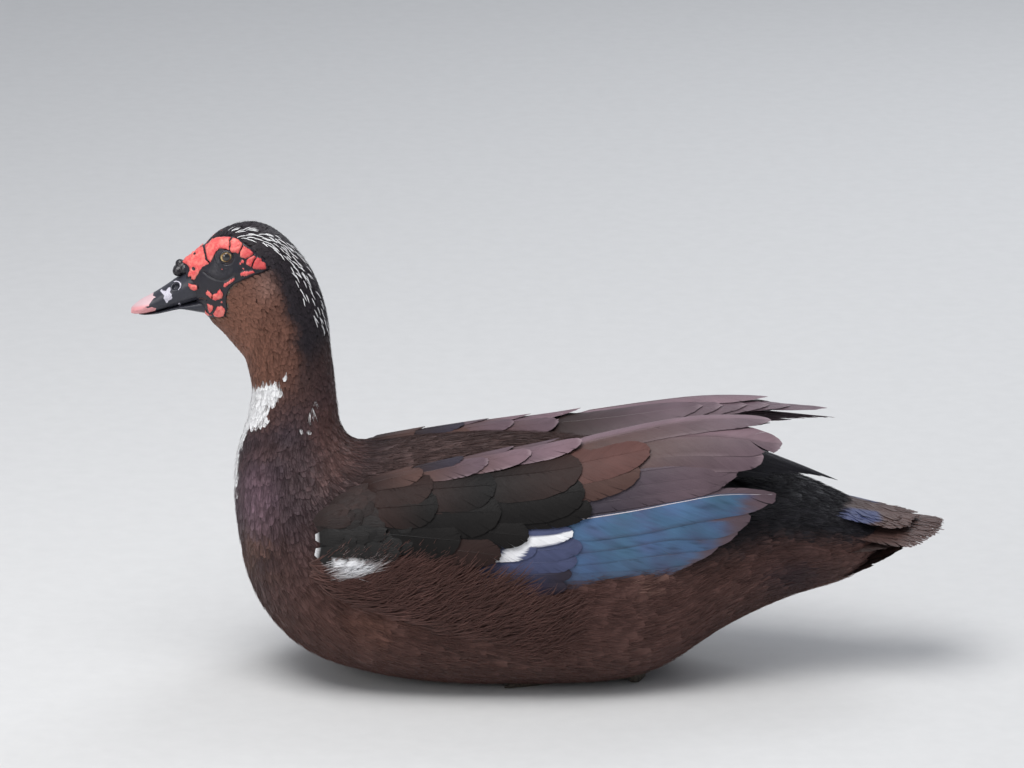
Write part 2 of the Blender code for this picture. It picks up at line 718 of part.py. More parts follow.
def knob_solid(name, lift=0.0):
    radii = [r * MM + lift for r in KNOB["radii"]]
    return ellipsoid(name, place(KNOB["centre"], 1), radii, "knob_skin", around=16, rows=10)


def make_knob():
    knob = knob_solid("bill_knob")
    bill = oval_run("cut", UPPER_BILL_SECTIONS, 16, "bill", GAP, "below")
    combine(knob, [body_piece("head", GAP), bill], "DIFFERENCE")
    shade(knob)


def tube(name, points, radii, around, colour, lift=0.0, floor=None):
    """Round limb through points, each with its radius, with flat ends."""
    points = np.asarray(points, float)
    rings = []
    for i, centre in enumerate(points):
        ahead = points[min(i + 1, len(points) - 1)] - points[max(i - 1, 0)]
        ahead /= np.linalg.norm(ahead)
        across = np.cross(ahead, (0.0, 0.0, 1.0))
        across /= np.linalg.norm(across)
        upward = np.cross(across, ahead)
        turn = np.arange(around) * 2 * math.pi / around
        radius = radii[i] + lift
        ring = centre + radius * (np.cos(turn)[:, None] * across + np.sin(turn)[:, None] * upward)
        rings.append(ring)
    rings = np.array(rings)
    rings[0] -= (points[1] - points[0]) / np.linalg.norm(points[1] - points[0]) * lift
    rings[-1] += (points[-1] - points[-2]) / np.linalg.norm(points[-1] - points[-2]) * lift
    if floor is not None:
        rings[..., 2] = np.maximum(rings[..., 2], floor)
    return lofted(name, rings, colour)


def leg_solid(name, side, lift=0.0):
    """Thigh's end, hock and shank: the hock lies on the floor and the shank runs forwards."""
    knee, hock, ankle = (np.array(place(LEG[k], side)) for k in ("knee", "hock", "ankle"))
    radii = {joint: radius * MM for joint, radius in LEG["radii"].items()}
    thigh = tube(name, [knee, hock], [radii["knee"], radii["hock"] * 0.9], 8, "leg_skin", lift)
    shank = tube("shank", [hock, ankle], [radii["shank"], radii["ankle"]], 8, "leg_skin", lift)
    joint = ellipsoid("hock", hock, (radii["hock"] + lift,) * 3, "leg_skin", around=8, rows=6)
    return combine(thigh, [shank, joint], "UNION")


def foot_solid(name, side, lift=0.0):
    """Three webbed toes flat on the floor, from the ankle forwards."""
    ankle = np.array(place(LEG["ankle"], side))
    radius = TOES["radius"] * MM + lift
    tips, pieces = [], []
    for length, turn in zip(TOES["length"], TOES["turn"]):
        angle = math.radians(turn)
        ahead = np.array([-math.cos(angle), math.sin(angle), 0.0])
        tips.append(ankle + ahead * length * MM)
        heel = ankle.copy()
        reach = length * MM * np.linspace(0, 1, 4)
        path = [heel + ahead * r for r in reach]
        path.append(heel + ahead * (length + TOES["claw"]) * MM)
        for point, height in zip(path, (5.0, 3.2, 3.0, 2.6, 1.2)):
            point[2] = height * MM
        thick = [1.25 * radius, radius, radius, 0.85 * radius, 0.25 * radius + lift]
        pieces.append(tube("toe", path, thick, 6, "leg_skin", lift, FLOOR - lift))
    heel = ankle + np.array([2 * MM, 0, 0])
    web = [heel, tips[0], (tips[0] + tips[1]) / 2 + [5 * MM, 0, 0], tips[1]]
    web += [(tips[1] + tips[2]) / 2 + [5 * MM, 0, 0], tips[2]]
    top, bottom = [], []
    for point in web:
        top.append((point[0], point[1], WEB_HEIGHT * MM + lift))
        bottom.append((point[0], point[1], FLOOR - lift))
    count = len(web)
    faces = [(0, i, i + 1) for i in range(1, count - 1)]
    faces += [(count, count + i + 1, count + i) for i in range(1, count - 1)]
    faces += [(i, (i + 1) % count, count + (i + 1) % count, count + i) for i in range(count)]
    webbing = mesh_object(name, top + bottom, faces, "leg_skin")
    return combine(webbing, pieces, "UNION")


def make_leg(name, side):
    leg = leg_solid("leg_" + name, side)
    combine(leg, [foot_solid("cut", side, GAP)], "DIFFERENCE")
    shade(leg)
    shade(foot_solid("foot_" + name, side))


def face_spot(x, z, side):
    """The head's surface at a place seen from the side: its point and its outward normal."""
    s, turn = np.meshgrid(np.linspace(0, SECTION["nape top"], 81), np.linspace(0.1, 3.0, 81))
    points = body_point(s, turn)
    away = np.hypot(points[..., 0] - x * MM, points[..., 2] - z * MM)
    row, col = np.unravel_index(np.argmin(away), away.shape)
    s, turn = s[row, col], turn[row, col]
    point = body_point(s, turn)
    along = body_point(s + 0.05, turn) - body_point(max(s - 0.05, 0), turn)
    across = body_point(s, turn + 0.05) - body_point(s, turn - 0.05)
    normal = np.cross(across, along)
    normal *= -np.sign(normal[1]) / np.linalg.norm(normal)
    flip = np.array([1, -side, 1])
    return point * flip, normal * flip


def skin_lump(x, z, radii, height, side, around, rows):
    """A flat bulb on the face, sunk a third of its height."""
    point, normal = face_spot(x, z, side)
    upward = Vector(normal)
    along = Vector((1, 0, 0)) - upward * upward.x
    along.normalize()
    turn = Matrix((along, upward.cross(along), upward)).transposed()
    size = (radii[0] * MM, radii[1] * MM, height * 1.5 * MM)
    centre = point - normal * height * 0.5 * MM
    return ellipsoid("lump", centre, size, "bare_skin", turn, around, rows)


def eyelid(side):
    """A ring round the eye where it leaves the face."""
    mesh = bpy.data.meshes.new("lid")
    work = bmesh.new()
    turn = np.arange(16) * 2 * math.pi / 16
    ring = np.arange(6) * 2 * math.pi / 6
    reach = (EYELID["radius"] + EYELID["thickness"] * np.cos(ring)) * MM
    height = (EYELID["depth"] + EYELID["thickness"] * np.sin(ring)) * MM
    centre = place(EYE["centre"], side)
    verts = [
        [
            work.verts.new((
                centre[0] + math.cos(angle) * reach[i],
                centre[1] + side * height[i],
                centre[2] + math.sin(angle) * reach[i],
            ))
            for i in range(6)
        ]
        for angle in turn
    ]
    for i in range(16):
        for j in range(6):
            ahead, beside = verts[(i + 1) % 16], (j + 1) % 6
            work.faces.new((verts[i][j], verts[i][beside], ahead[beside], ahead[j]))
    bmesh.ops.recalc_face_normals(work, faces=work.faces)
    work.to_mesh(mesh)
    work.free()
    lid = bpy.data.objects.new("lid", mesh)
    bpy.context.scene.collection.objects.link(lid)
    return lid


def make_face_skin(name, side):
    """The bare skin of one side of the face, with its caruncles and eyelid, on the head."""
    pieces = [skin_lump(*spot, radii, SKIN_HEIGHT, side, 12, 4) for spot, radii in SMOOTH_SKIN]
    pieces += [skin_lump(*spot, (size, size), CARUNCLE_HEIGHT, side, 6, 4) for spot, size in CARUNCLES]
    pieces.append(eyelid(side))
    face = pieces.pop(0)
    face.name = name
    combine(face, pieces, "UNION")
    head = body_piece("head", GAP)
    bill = oval_run("cut", UPPER_BILL_SECTIONS, 16, "bill", GAP, "below")
    lower = oval_run("cut", LOWER_BILL_SECTIONS, 16, "bill", GAP, "above")
    eye = eyeball("cut", side, GAP)
    combine(face, [head, bill, lower, eye, knob_solid("cut", GAP)], "DIFFERENCE")
    face.name = name
    shade(face)


def main():
    clear_scene()
    make_head()
    make_neck()
    make_torso()
    make_tail()
    make_bill()
    make_knob()
    for name, side in SIDES.items():
        make_wing("wing_" + name, side)
        shade(eyeball("eye_" + name, side))
        make_face_skin("face_skin_" + name, side)
        make_leg(name, side)


main()
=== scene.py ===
import math

import bpy
import numpy as np
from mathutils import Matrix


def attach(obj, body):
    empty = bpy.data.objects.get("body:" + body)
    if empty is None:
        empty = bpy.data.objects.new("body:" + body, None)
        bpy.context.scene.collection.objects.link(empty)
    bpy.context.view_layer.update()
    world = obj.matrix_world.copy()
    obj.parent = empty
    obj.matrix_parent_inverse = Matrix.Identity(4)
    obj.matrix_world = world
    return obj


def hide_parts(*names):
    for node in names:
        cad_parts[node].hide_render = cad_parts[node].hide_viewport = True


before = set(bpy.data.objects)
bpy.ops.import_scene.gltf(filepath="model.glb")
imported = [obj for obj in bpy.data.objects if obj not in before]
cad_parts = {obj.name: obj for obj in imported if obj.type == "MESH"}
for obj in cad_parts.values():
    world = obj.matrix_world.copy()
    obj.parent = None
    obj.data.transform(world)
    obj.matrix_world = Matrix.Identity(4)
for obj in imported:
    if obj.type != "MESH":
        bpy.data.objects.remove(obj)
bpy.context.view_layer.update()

mm = 0.001
random = np.random.default_rng(41)


def hermite(knots, rows, at):
    # cubic curve through the rows, with each knot's slope taken from its two neighbours
    knots = np.asarray(knots, float)
    rows = np.asarray(rows, float)
    at = np.asarray(at, float)
    slopes = np.gradient(rows, knots, axis=0)
    i = np.clip(np.searchsorted(knots, at) - 1, 0, len(knots) - 2)
    width = knots[i + 1] - knots[i]
    t = (at - knots[i]) / width
    if rows.ndim > 1:
        t, width = t[..., None], width[..., None]
    return (rows[i] * (2 * t**3 - 3 * t**2 + 1) + slopes[i] * width * (t**3 - 2 * t**2 + t)
            + rows[i + 1] * (3 * t**2 - 2 * t**3) + slopes[i + 1] * width * (t**3 - t**2))


def ease(value, low, high):
    # 0 below low, 1 above high, with a smooth climb between them
    t = np.clip((np.asarray(value, float) - low) / (high - low), 0, 1)
    return t * t * (3 - 2 * t)


def blendTo(start, end, share):
    # goes from one colour to another by a share for each place
    share = np.asarray(share, float)[..., None]
    return np.asarray(start, float) * (1 - share) + np.asarray(end, float) * share


def softNoise(points, size, seed, waves=10):
    # a sum of sine waves in random directions, each about as long as the size, from -1 to 1
    chance = np.random.default_rng(seed)
    total = 0
    for _ in range(waves):
        direction = chance.normal(size=3)
        direction /= np.linalg.norm(direction)
        length = size * chance.uniform(0.7, 1.6)
        total = total + np.sin(points @ direction * 2 * math.pi / length + chance.uniform(0, 6.3))
    return total / waves * 1.6


bodyForm = {  # back x, z, belly x, z, half width, sink of the widest line, power of the lower half
    "billRoot": (-279, 340, -266, 296, 13.5, 0.00, 1.00),
    "forehead": (-267, 350, -260, 288, 20.0, -0.15, 1.00),
    "brow": (-254, 362, -252, 280, 24.5, -0.30, 0.90),
    "crown": (-233, 369, -242, 268, 27.0, -0.30, 0.85),
    "headBack": (-213, 365, -235, 259, 28.5, -0.20, 0.90),
    "napeTop": (-194, 348, -232, 249, 28.5, -0.10, 1.00),
    "nape": (-179, 325, -230, 240, 28.0, 0.00, 1.00),
    "neckTop": (-170, 296, -229, 231, 27.5, 0.00, 1.00),
    "neckMiddle": (-167, 268, -231, 219, 27.5, 0.00, 1.00),
    "neckLow": (-164, 241, -234, 205, 29.0, 0.00, 1.00),
    "neckFoot": (-162, 219, -239, 189, 33.0, 0.00, 1.00),
    "neckRoot": (-160, 203, -243, 171, 40.0, 0.00, 1.00),
    "shoulder": (-154, 192, -244, 148, 51.0, 0.00, 1.00),
    "breastTop": (-146, 186, -241, 116, 64.0, 0.05, 0.95),
    "breast": (-133, 184, -233, 78, 76.0, 0.08, 0.90),
    "keelFront": (-117, 186, -216, 47, 86.0, 0.10, 0.85),
    "keel": (-99, 189, -187, 22, 93.0, 0.12, 0.75),
    "bellyFront": (-75, 191, -143, 8, 98.0, 0.15, 0.68),
    "belly": (-31, 193, -79, -1, 101.0, 0.15, 0.65),
    "middle": (17, 192, -7, -2, 101.0, 0.15, 0.65),
    "bellyRear": (65, 190, 57, 0, 97.0, 0.15, 0.65),
    "thigh": (113, 185, 101, 10, 86.0, 0.12, 0.68),
    "vent": (153, 177, 149, 40, 72.0, 0.08, 0.80),
    "rump": (201, 161, 201, 63, 57.0, 0.00, 0.95),
    "tailRoot": (240, 144, 248, 78, 45.0, 0.00, 1.00),
    "tailPad": (262, 132, 267, 93, 34.0, 0.00, 1.00),
    "tailEnd": (276, 124, 278, 103, 20.0, 0.00, 1.00),
}
bodyRows = np.array(list(bodyForm.values()))
lastSection = len(bodyRows) - 1
floorLayer = {"outermost": 0.0022, "above": 0.0002, "spread": 0.55}


def bodyPoint(s, turn, lift=0.0):
    # s counts the sections and turn runs from the back (0) by the left side: an oval between each
    # section's back and belly points, drawn down or up at its sides, and layered flat on the floor
    s, turn, lift = np.broadcast_arrays(np.asarray(s, float), np.asarray(turn, float),
        np.asarray(lift, float))
    value = hermite(np.arange(len(bodyRows)), bodyRows, s)
    back, belly = value[..., 0:2] * mm, value[..., 2:4] * mm
    halfWidth, sink, power = value[..., 4] * mm, value[..., 5], value[..., 6]
    middle = (back + belly) / 2
    upward = back - belly
    halfDepth = np.linalg.norm(upward, axis=-1) / 2
    upward = upward / (2 * halfDepth[..., None])
    rise = np.cos(turn)
    rise = np.where(rise < 0, -np.abs(rise) ** power, rise)
    height = (halfDepth + lift) * rise - sink * halfDepth * np.sin(turn) ** 2
    x = middle[..., 0] + upward[..., 0] * height
    z = middle[..., 1] + upward[..., 1] * height
    y = -(halfWidth + lift) * np.sin(turn)
    lowest = floorLayer["above"] + np.maximum(floorLayer["outermost"] - lift, 0) * floorLayer["spread"]
    return np.stack([x, y, np.maximum(z, lowest)], -1)


wingForm = (  # x, top edge y and z, bottom edge y and z
    (-186, 84, 146, 90, 118),
    (-168, 70, 160, 97, 106),
    (-140, 60, 170, 102, 98),
    (-100, 52, 178, 106, 93),
    (-47, 46, 186, 108, 92),
    (17, 38, 195, 107, 93),
    (60, 32, 203, 101, 98),
    (95, 28, 209, 94, 106),
    (129, 27, 213, 86, 118),
    (169, 28, 213, 74, 142),
    (200, 30, 210, 62, 166),
    (236, 34, 206, 48, 184),
)
wingRows = np.array(wingForm, float)


def wingPoint(x, v, lift, side, droop=None):
    # a quarter of an ellipse from the wing's top edge (v 0) to its bottom edge (v 1) at each x, and
    # lifted square to itself; a droop draws the rear inwards and down by a power of the way behind it
    x, v, lift = np.broadcast_arrays(np.asarray(x, float), np.asarray(v, float), np.asarray(lift, float))
    value = hermite(wingRows[:, 0], wingRows[:, 1:], np.clip(x / mm, -196, 250)) * mm
    angle = v * math.pi / 2
    wide = value[..., 2] - value[..., 0]
    deep = value[..., 1] - value[..., 3]
    outY, outZ = deep * np.sin(angle), wide * np.cos(angle)
    size = np.hypot(outY, outZ)
    y = value[..., 0] + wide * np.sin(angle) + lift * outY / size
    z = value[..., 3] + deep * np.cos(angle) + lift * outZ / size
    if droop:
        way = np.clip((x / mm - droop["start"]) / (droop["end"] - droop["start"]), 0,
            None) ** droop["power"]
        y = y - droop["inwards"] * way * mm
        z = z - droop["down"] * way * mm
    return np.stack([x, side * y, z], -1)


def surfaceFrame(surface, p, q):
    # the change of place for one unit of p and of q
    point, stepP, stepQ = surface
    alongP = (point(p + stepP, q, 0) - point(p - stepP, q, 0)) / (2 * stepP)
    alongQ = (point(p, q + stepQ, 0) - point(p, q - stepQ, 0)) / (2 * stepQ)
    return alongP, alongQ


def metres(surface, p, q):
    # turns lengths along and across the p lines into changes of p and q
    alongP, alongQ = surfaceFrame(surface, p, q)
    lengthP = np.linalg.norm(alongP, axis=-1)
    ahead = alongP / lengthP[..., None]
    shear = (alongQ * ahead).sum(-1)
    lengthQ = np.linalg.norm(alongQ - shear[..., None] * ahead, axis=-1)

    def change(along, across):
        dq = across / lengthQ
        return (along - dq * shear) / lengthP, dq

    return change


def march(surface, p, q, heading, reach, rows):
    # carries a line from each start over the surface in equal steps at its heading from the p lines,
    # and keeps the change of p and q for one metre to its side at each row
    line, aside = [], []
    step = reach / (rows - 1)
    for _ in range(rows):
        change = metres(surface, p, q)
        line.append((p, q))
        aside.append(change(-np.sin(heading), np.cos(heading)))
        dp, dq = change(step * np.cos(heading), step * np.sin(heading))
        p, q = p + dp, q + dq
    return np.moveaxis(np.array(line), 0, -1), np.moveaxis(np.array(aside), 0, -1)


def gridFaces(grid):
    # four corners for each cell of a grid of vertex numbers
    corners = [grid[:-1, :-1], grid[:-1, 1:], grid[1:, 1:], grid[1:, :-1]]
    return np.stack(corners, -1).reshape(-1, 4)


def vaneFaces(rows, cols):
    # a thin closed vane: an upper grid, and a lower one that shares its rim
    upper = np.arange(rows * cols).reshape(rows, cols)
    lower = upper.copy()
    inner = (rows - 2) * (cols - 2)
    lower[1:-1, 1:-1] = rows * cols + np.arange(inner).reshape(rows - 2, cols - 2)
    return np.concatenate([gridFaces(upper), gridFaces(lower)[:, ::-1]])


def repeated(faces, count, stride, flipped=False):
    # the same faces for each of many copies whose vertices follow one another
    faces = faces[:, ::-1] if flipped else faces
    return (faces[None] + np.arange(count)[:, None, None] * stride).reshape(-1, 4)


def fourSided(name, points, faces, uvs=None, numbers=None, sharp=None):
    # one mesh of four-cornered faces from whole arrays, with UV maps and attributes by vertex
    mesh = bpy.data.meshes.new(name)
    mesh.vertices.add(len(points))
    mesh.vertices.foreach_set("co", np.ascontiguousarray(points, np.float32).ravel())
    corners = np.ascontiguousarray(faces, np.int32).ravel()
    mesh.loops.add(len(corners))
    mesh.loops.foreach_set("vertex_index", corners)
    mesh.polygons.add(len(faces))
    mesh.polygons.foreach_set("loop_start", np.arange(0, len(corners), 4, dtype=np.int32))
    mesh.update(calc_edges=True)
    mesh.validate()
    dress(mesh, corners, uvs or {}, numbers or {})
    mesh.shade_smooth()
    if sharp:
        mesh.set_sharp_from_angle(angle=math.radians(sharp))
    made = bpy.data.objects.new(name, mesh)
    bpy.context.scene.collection.objects.link(made)
    return made


def dress(mesh, corners, uvs, numbers):
    for word, places in uvs.items():
        layer = mesh.uv_layers.new(name=word)
        layer.data.foreach_set("uv", np.ascontiguousarray(places[corners], np.float32).ravel())
    for word, values in numbers.items():
        values = np.asarray(values, np.float32)
        if values.ndim == 1:
            mesh.attributes.new(word, "FLOAT", "POINT").data.foreach_set("value", values)
        else:
            colours = np.concatenate([values, np.ones((len(values), 1), np.float32)], 1)
            mesh.attributes.new(word, "FLOAT_COLOR", "POINT").data.foreach_set("color", colours.ravel())


def withLids(sides, rows, cols):
    # adds quads across both ends of a tube: the i-th joins corners i, i + 1, cols - 2 - i and cols - 1 - i
    i = np.arange(cols // 2 - 1)
    lid = np.stack([i, i + 1, cols - 2 - i, cols - 1 - i], -1)
    return np.concatenate([sides, lid[:, ::-1], lid + (rows - 1) * cols])


def closedTube(name, rings, numbers=None, flipped=False, uvs=None):
    # a skin through rings of points; at each end a ring of 0.02 of its size, and a lid of quads, close it
    first, last = rings[:1], rings[-1:]
    caps = [rings[0].mean(0) + (first - rings[0].mean(0)) * 0.02,
        last.mean(1, keepdims=True) * 0.98 + last * 0.02]
    full = np.concatenate([caps[0].reshape(1, -1, 3), rings, caps[1].reshape(1, -1, 3)])
    rows, cols = full.shape[:2]
    grid = np.arange(rows * cols).reshape(rows, cols)
    grid = np.concatenate([grid, grid[:, :1]], 1)
    faces = withLids(gridFaces(grid), rows, cols)
    faces = faces[:, ::-1] if flipped else faces
    spread = {}
    for word, values in (numbers or {}).items():
        spread[word] = np.concatenate([values[:1], values, values[-1:]]).reshape(rows * cols,
            *values.shape[2:])
    maps = {}
    for word, values in (uvs or {}).items():
        maps[word] = np.concatenate([values[:1], values, values[-1:]]).reshape(rows * cols, 2)
    return fourSided(name, full.reshape(-1, 3), faces, maps, spread)


def joined(parts):
    # several sets of points, faces, maps and attributes as one
    points, faces, uvs, numbers, start = [], [], {}, {}, 0
    for part in parts:
        points.append(part["points"])
        faces.append(part["faces"] + start)
        start += len(part["points"])
        for word, values in part["uvs"].items():
            uvs.setdefault(word, []).append(values)
        for word, values in part["numbers"].items():
            numbers.setdefault(word, []).append(values)
    return {
        "points": np.concatenate(points), "faces": np.concatenate(faces),
        "uvs": {word: np.concatenate(v) for word, v in uvs.items()},
        "numbers": {word: np.concatenate(v) for word, v in numbers.items()},
    }


def asPiece(name, parts, material, replaces=(), sharp=50):
    whole = joined(parts)
    made = fourSided(name, whole["points"], whole["faces"], whole["uvs"], whole["numbers"], sharp)
    return settle(made, material, replaces)


def settle(piece, material, replaces=()):
    # gives a finished piece its material, and hides the parts that it stands for
    piece.data.materials.clear()
    piece.data.materials.append(material)
    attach(piece, "root")
    if replaces:
        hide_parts(*replaces)
    faces = len(piece.data.loops) - 2 * len(piece.data.polygons)
    print(f"{piece.name}: {faces} triangles")
    return piece


class Wire:
    # a socket that can be added, multiplied and so on: each sign adds a Math node
    def __init__(self, graph, socket):
        self.graph = graph
        self.socket = socket

    def combine(self, operation, first, second):
        return self.graph.node("Math", {"operation": operation}, {0: first, 1: second})

    def __add__(self, other):
        return self.combine("ADD", self, other)

    def __radd__(self, other):
        return self.combine("ADD", other, self)

    def __sub__(self, other):
        return self.combine("SUBTRACT", self, other)

    def __rsub__(self, other):
        return self.combine("SUBTRACT", other, self)

    def __mul__(self, other):
        return self.combine("MULTIPLY", self, other)

    def __rmul__(self, other):
        return self.combine("MULTIPLY", other, self)

    def __truediv__(self, other):
        return self.combine("DIVIDE", self, other)

    def __pow__(self, other):
        return self.combine("POWER", self, other)


class Graph:
    def __init__(self, name):
        self.material = bpy.data.materials.new(name)
        self.material.use_nodes = True
        self.tree = self.material.node_tree
        self.shader = self.tree.nodes["Principled BSDF"]

    def join(self, value, socket):
        if isinstance(value, Wire):
            self.tree.links.new(value.socket, socket)
        else:
            socket.default_value = value

    def node(self, kind, settings=None, inputs=None, output=0):
        made = self.tree.nodes.new("ShaderNode" + kind)
        for word, value in (settings or {}).items():
            if word == "stops":
                while len(made.color_ramp.elements) < len(value):
                    made.color_ramp.elements.new(0.5)
                for element, (place, colour) in zip(made.color_ramp.elements, value):
                    element.position = place
                    element.color = colour
            else:
                setattr(made, word, value)
        for word, value in (inputs or {}).items():
            self.join(value, made.inputs[word])
        return Wire(self, made.outputs[output])

    def mix(self, factor, first, second, blend="MIX"):
        first = (*first, 1) if isinstance(first, tuple) and len(first) == 3 else first
        second = (*second, 1) if isinstance(second, tuple) and len(second) == 3 else second
        settings = {"data_type": "RGBA", "blend_type": blend}
        return self.node("Mix", settings, {0: factor, 6: first, 7: second}, 2)

    def scaled(self, colour, amount):
        # a colour made lighter or darker by a number
        settings = {"operation": "SCALE"}
        return self.node("VectorMath", settings, {0: colour, "Scale": amount})

    def place(self, source="Object"):
        return self.node("TexCoord", {}, {}, source)

    def uv(self, name):
        return self.node("UVMap", {"uv_map": name})

    def number(self, name):
        return self.node("Attribute", {"attribute_name": name}, {}, "Fac")

    def colour(self, name):
        return self.node("Attribute", {"attribute_name": name}, {}, "Color")

    def stretched(self, vector, scale, offset=None):
        # a place measured in its own units along each axis
        settings = {"operation": "MULTIPLY"}
        made = self.node("VectorMath", settings, {0: vector, 1: scale})
        if offset is not None:
            joint = self.node("CombineXYZ", {}, {0: offset, 1: offset, 2: offset})
            made = self.node("VectorMath", {"operation": "ADD"}, {0: made, 1: joint})
        return made

    def noise(self, vector, scale, detail=3.0, roughness=0.55):
        return self.node("TexNoise", {},
            {"Vector": vector, "Scale": scale, "Detail": detail, "Roughness": roughness})

    def cells(self, vector, scale, feature="F1"):
        return self.node("TexVoronoi", {"feature": feature}, {"Vector": vector, "Scale": scale}, "Distance")

    def ramp(self, value, low, high):
        # 0 at low and 1 at high, and held beyond them
        settings = {"interpolation_type": "SMOOTHSTEP"}
        return self.node("MapRange", settings, {"Value": value, "From Min": low, "From Max": high})

    def bump(self, height, strength, distance):
        settings = {"Height": height, "Strength": strength, "Distance": distance}
        return self.node("Bump", {}, settings)

    def finish(self, links, fixed=None):
        for word, value in {**(fixed or {}), **links}.items():
            self.join(value, self.shader.inputs[word])
        return self.material


plumage = {
    "black": (0.010, 0.009, 0.012),
    "nape": (0.022, 0.017, 0.021),
    # the back's brown with painted sky sheen in it
    "deep": (0.072, 0.045, 0.042),
    "chocolate": (0.094, 0.047, 0.039),
    "maroon": (0.118, 0.058, 0.049),
    "cheek": (0.146, 0.067, 0.048),
    # a light tan-brown that stands for painted sheen on the cheek
    "cheekSheen": (0.270, 0.150, 0.120),
    "warm": (0.195, 0.087, 0.058),
    "buff": (0.420, 0.300, 0.220),
    "tan": (0.245, 0.124, 0.082),
    "plum": (0.040, 0.026, 0.033),
    # a light purple that stands for painted sheen on the breast's front
    "purpleSheen": (0.225, 0.140, 0.176),
    "white": (0.86, 0.86, 0.86),
}


def fromPicture(corners):
    # corners measured on the side view, in its units of 0.8 mm, to millimetres across and up
    corners = np.asarray(corners, float)
    return np.stack([(corners[:, 0] - 539) * 0.8, (668 - corners[:, 1]) * 0.8], 1)


def sideView(points):
    # millimetres across and up as a camera 16 degrees above the bird sees them, alike on both sides
    height = points[..., 2] * math.cos(math.radians(16)) - np.abs(points[...,
        1]) * math.sin(math.radians(16))
    return points[..., 0] / mm, height / mm


def insideBy(across, up, corners):
    # millimetres inside a polygon, negative outside: the distance to its nearest edge, with the sign
    # of an odd or even count of the edges crossed
    start = corners
    end = np.roll(corners, -1, axis=0)
    spot = np.stack([across, up], -1)[..., None, :]
    edge = end - start
    share = np.clip(((spot - start) * edge).sum(-1) / (edge**2).sum(-1), 0, 1)
    away = np.linalg.norm(spot - start - share[..., None] * edge, axis=-1).min(-1)
    above = (start[:, 1] > up[..., None]) != (end[:, 1] > up[..., None])
    slope = (end[:, 0] - start[:, 0]) / np.where(edge[:, 1] == 0, 1e-9, edge[:, 1])
    crossed = above & (across[..., None] < slope * (up[..., None] - start[:, 1]) + start[:, 0])
    return np.where(crossed.sum(-1) % 2 == 1, away, -away)


whiteMarks = {
    "neckPatch": [(252, 385), (262, 383), (276, 381), (286, 393), (279, 398), (275, 405), (267, 409),
        (272, 418),
                  (261, 424), (250, 426), (245, 437), (240, 452), (238, 470), (236, 488), (228, 488),
                  (226, 440),
                  (236, 410), (244, 385)],
    "crownStreaks": [(228, 232), (252, 230), (278, 236), (300, 252), (312, 276), (304, 278), (285, 256),
        (262, 244),
                     (240, 240)],
    "napeStreaks": [(288, 262), (300, 262), (322, 300), (331, 330), (322, 334), (308, 306)],
}
flecks = ((286, 379, 2.0), (313, 417, 1.9), (306.5, 430, 2.4), (317, 406, 1.2))


def whiteness(points):
    # which feathers are white: those of the neck's patch and its flecks
    across, up = sideView(points)
    far = ease(points[..., 1], 0.0, 0.004)
    rag = softNoise(points, 0.006, 7) * 0.9
    patch = insideBy(across, up, fromPicture(whiteMarks["neckPatch"])) + rag - far * 3.5
    white = patch > 0
    for x, y, size in flecks:
        white |= (np.hypot(across - (x - 539) * 0.8, up - (668 - y) * 0.8) < size) & (far < 0.5)
    return white.astype(float)


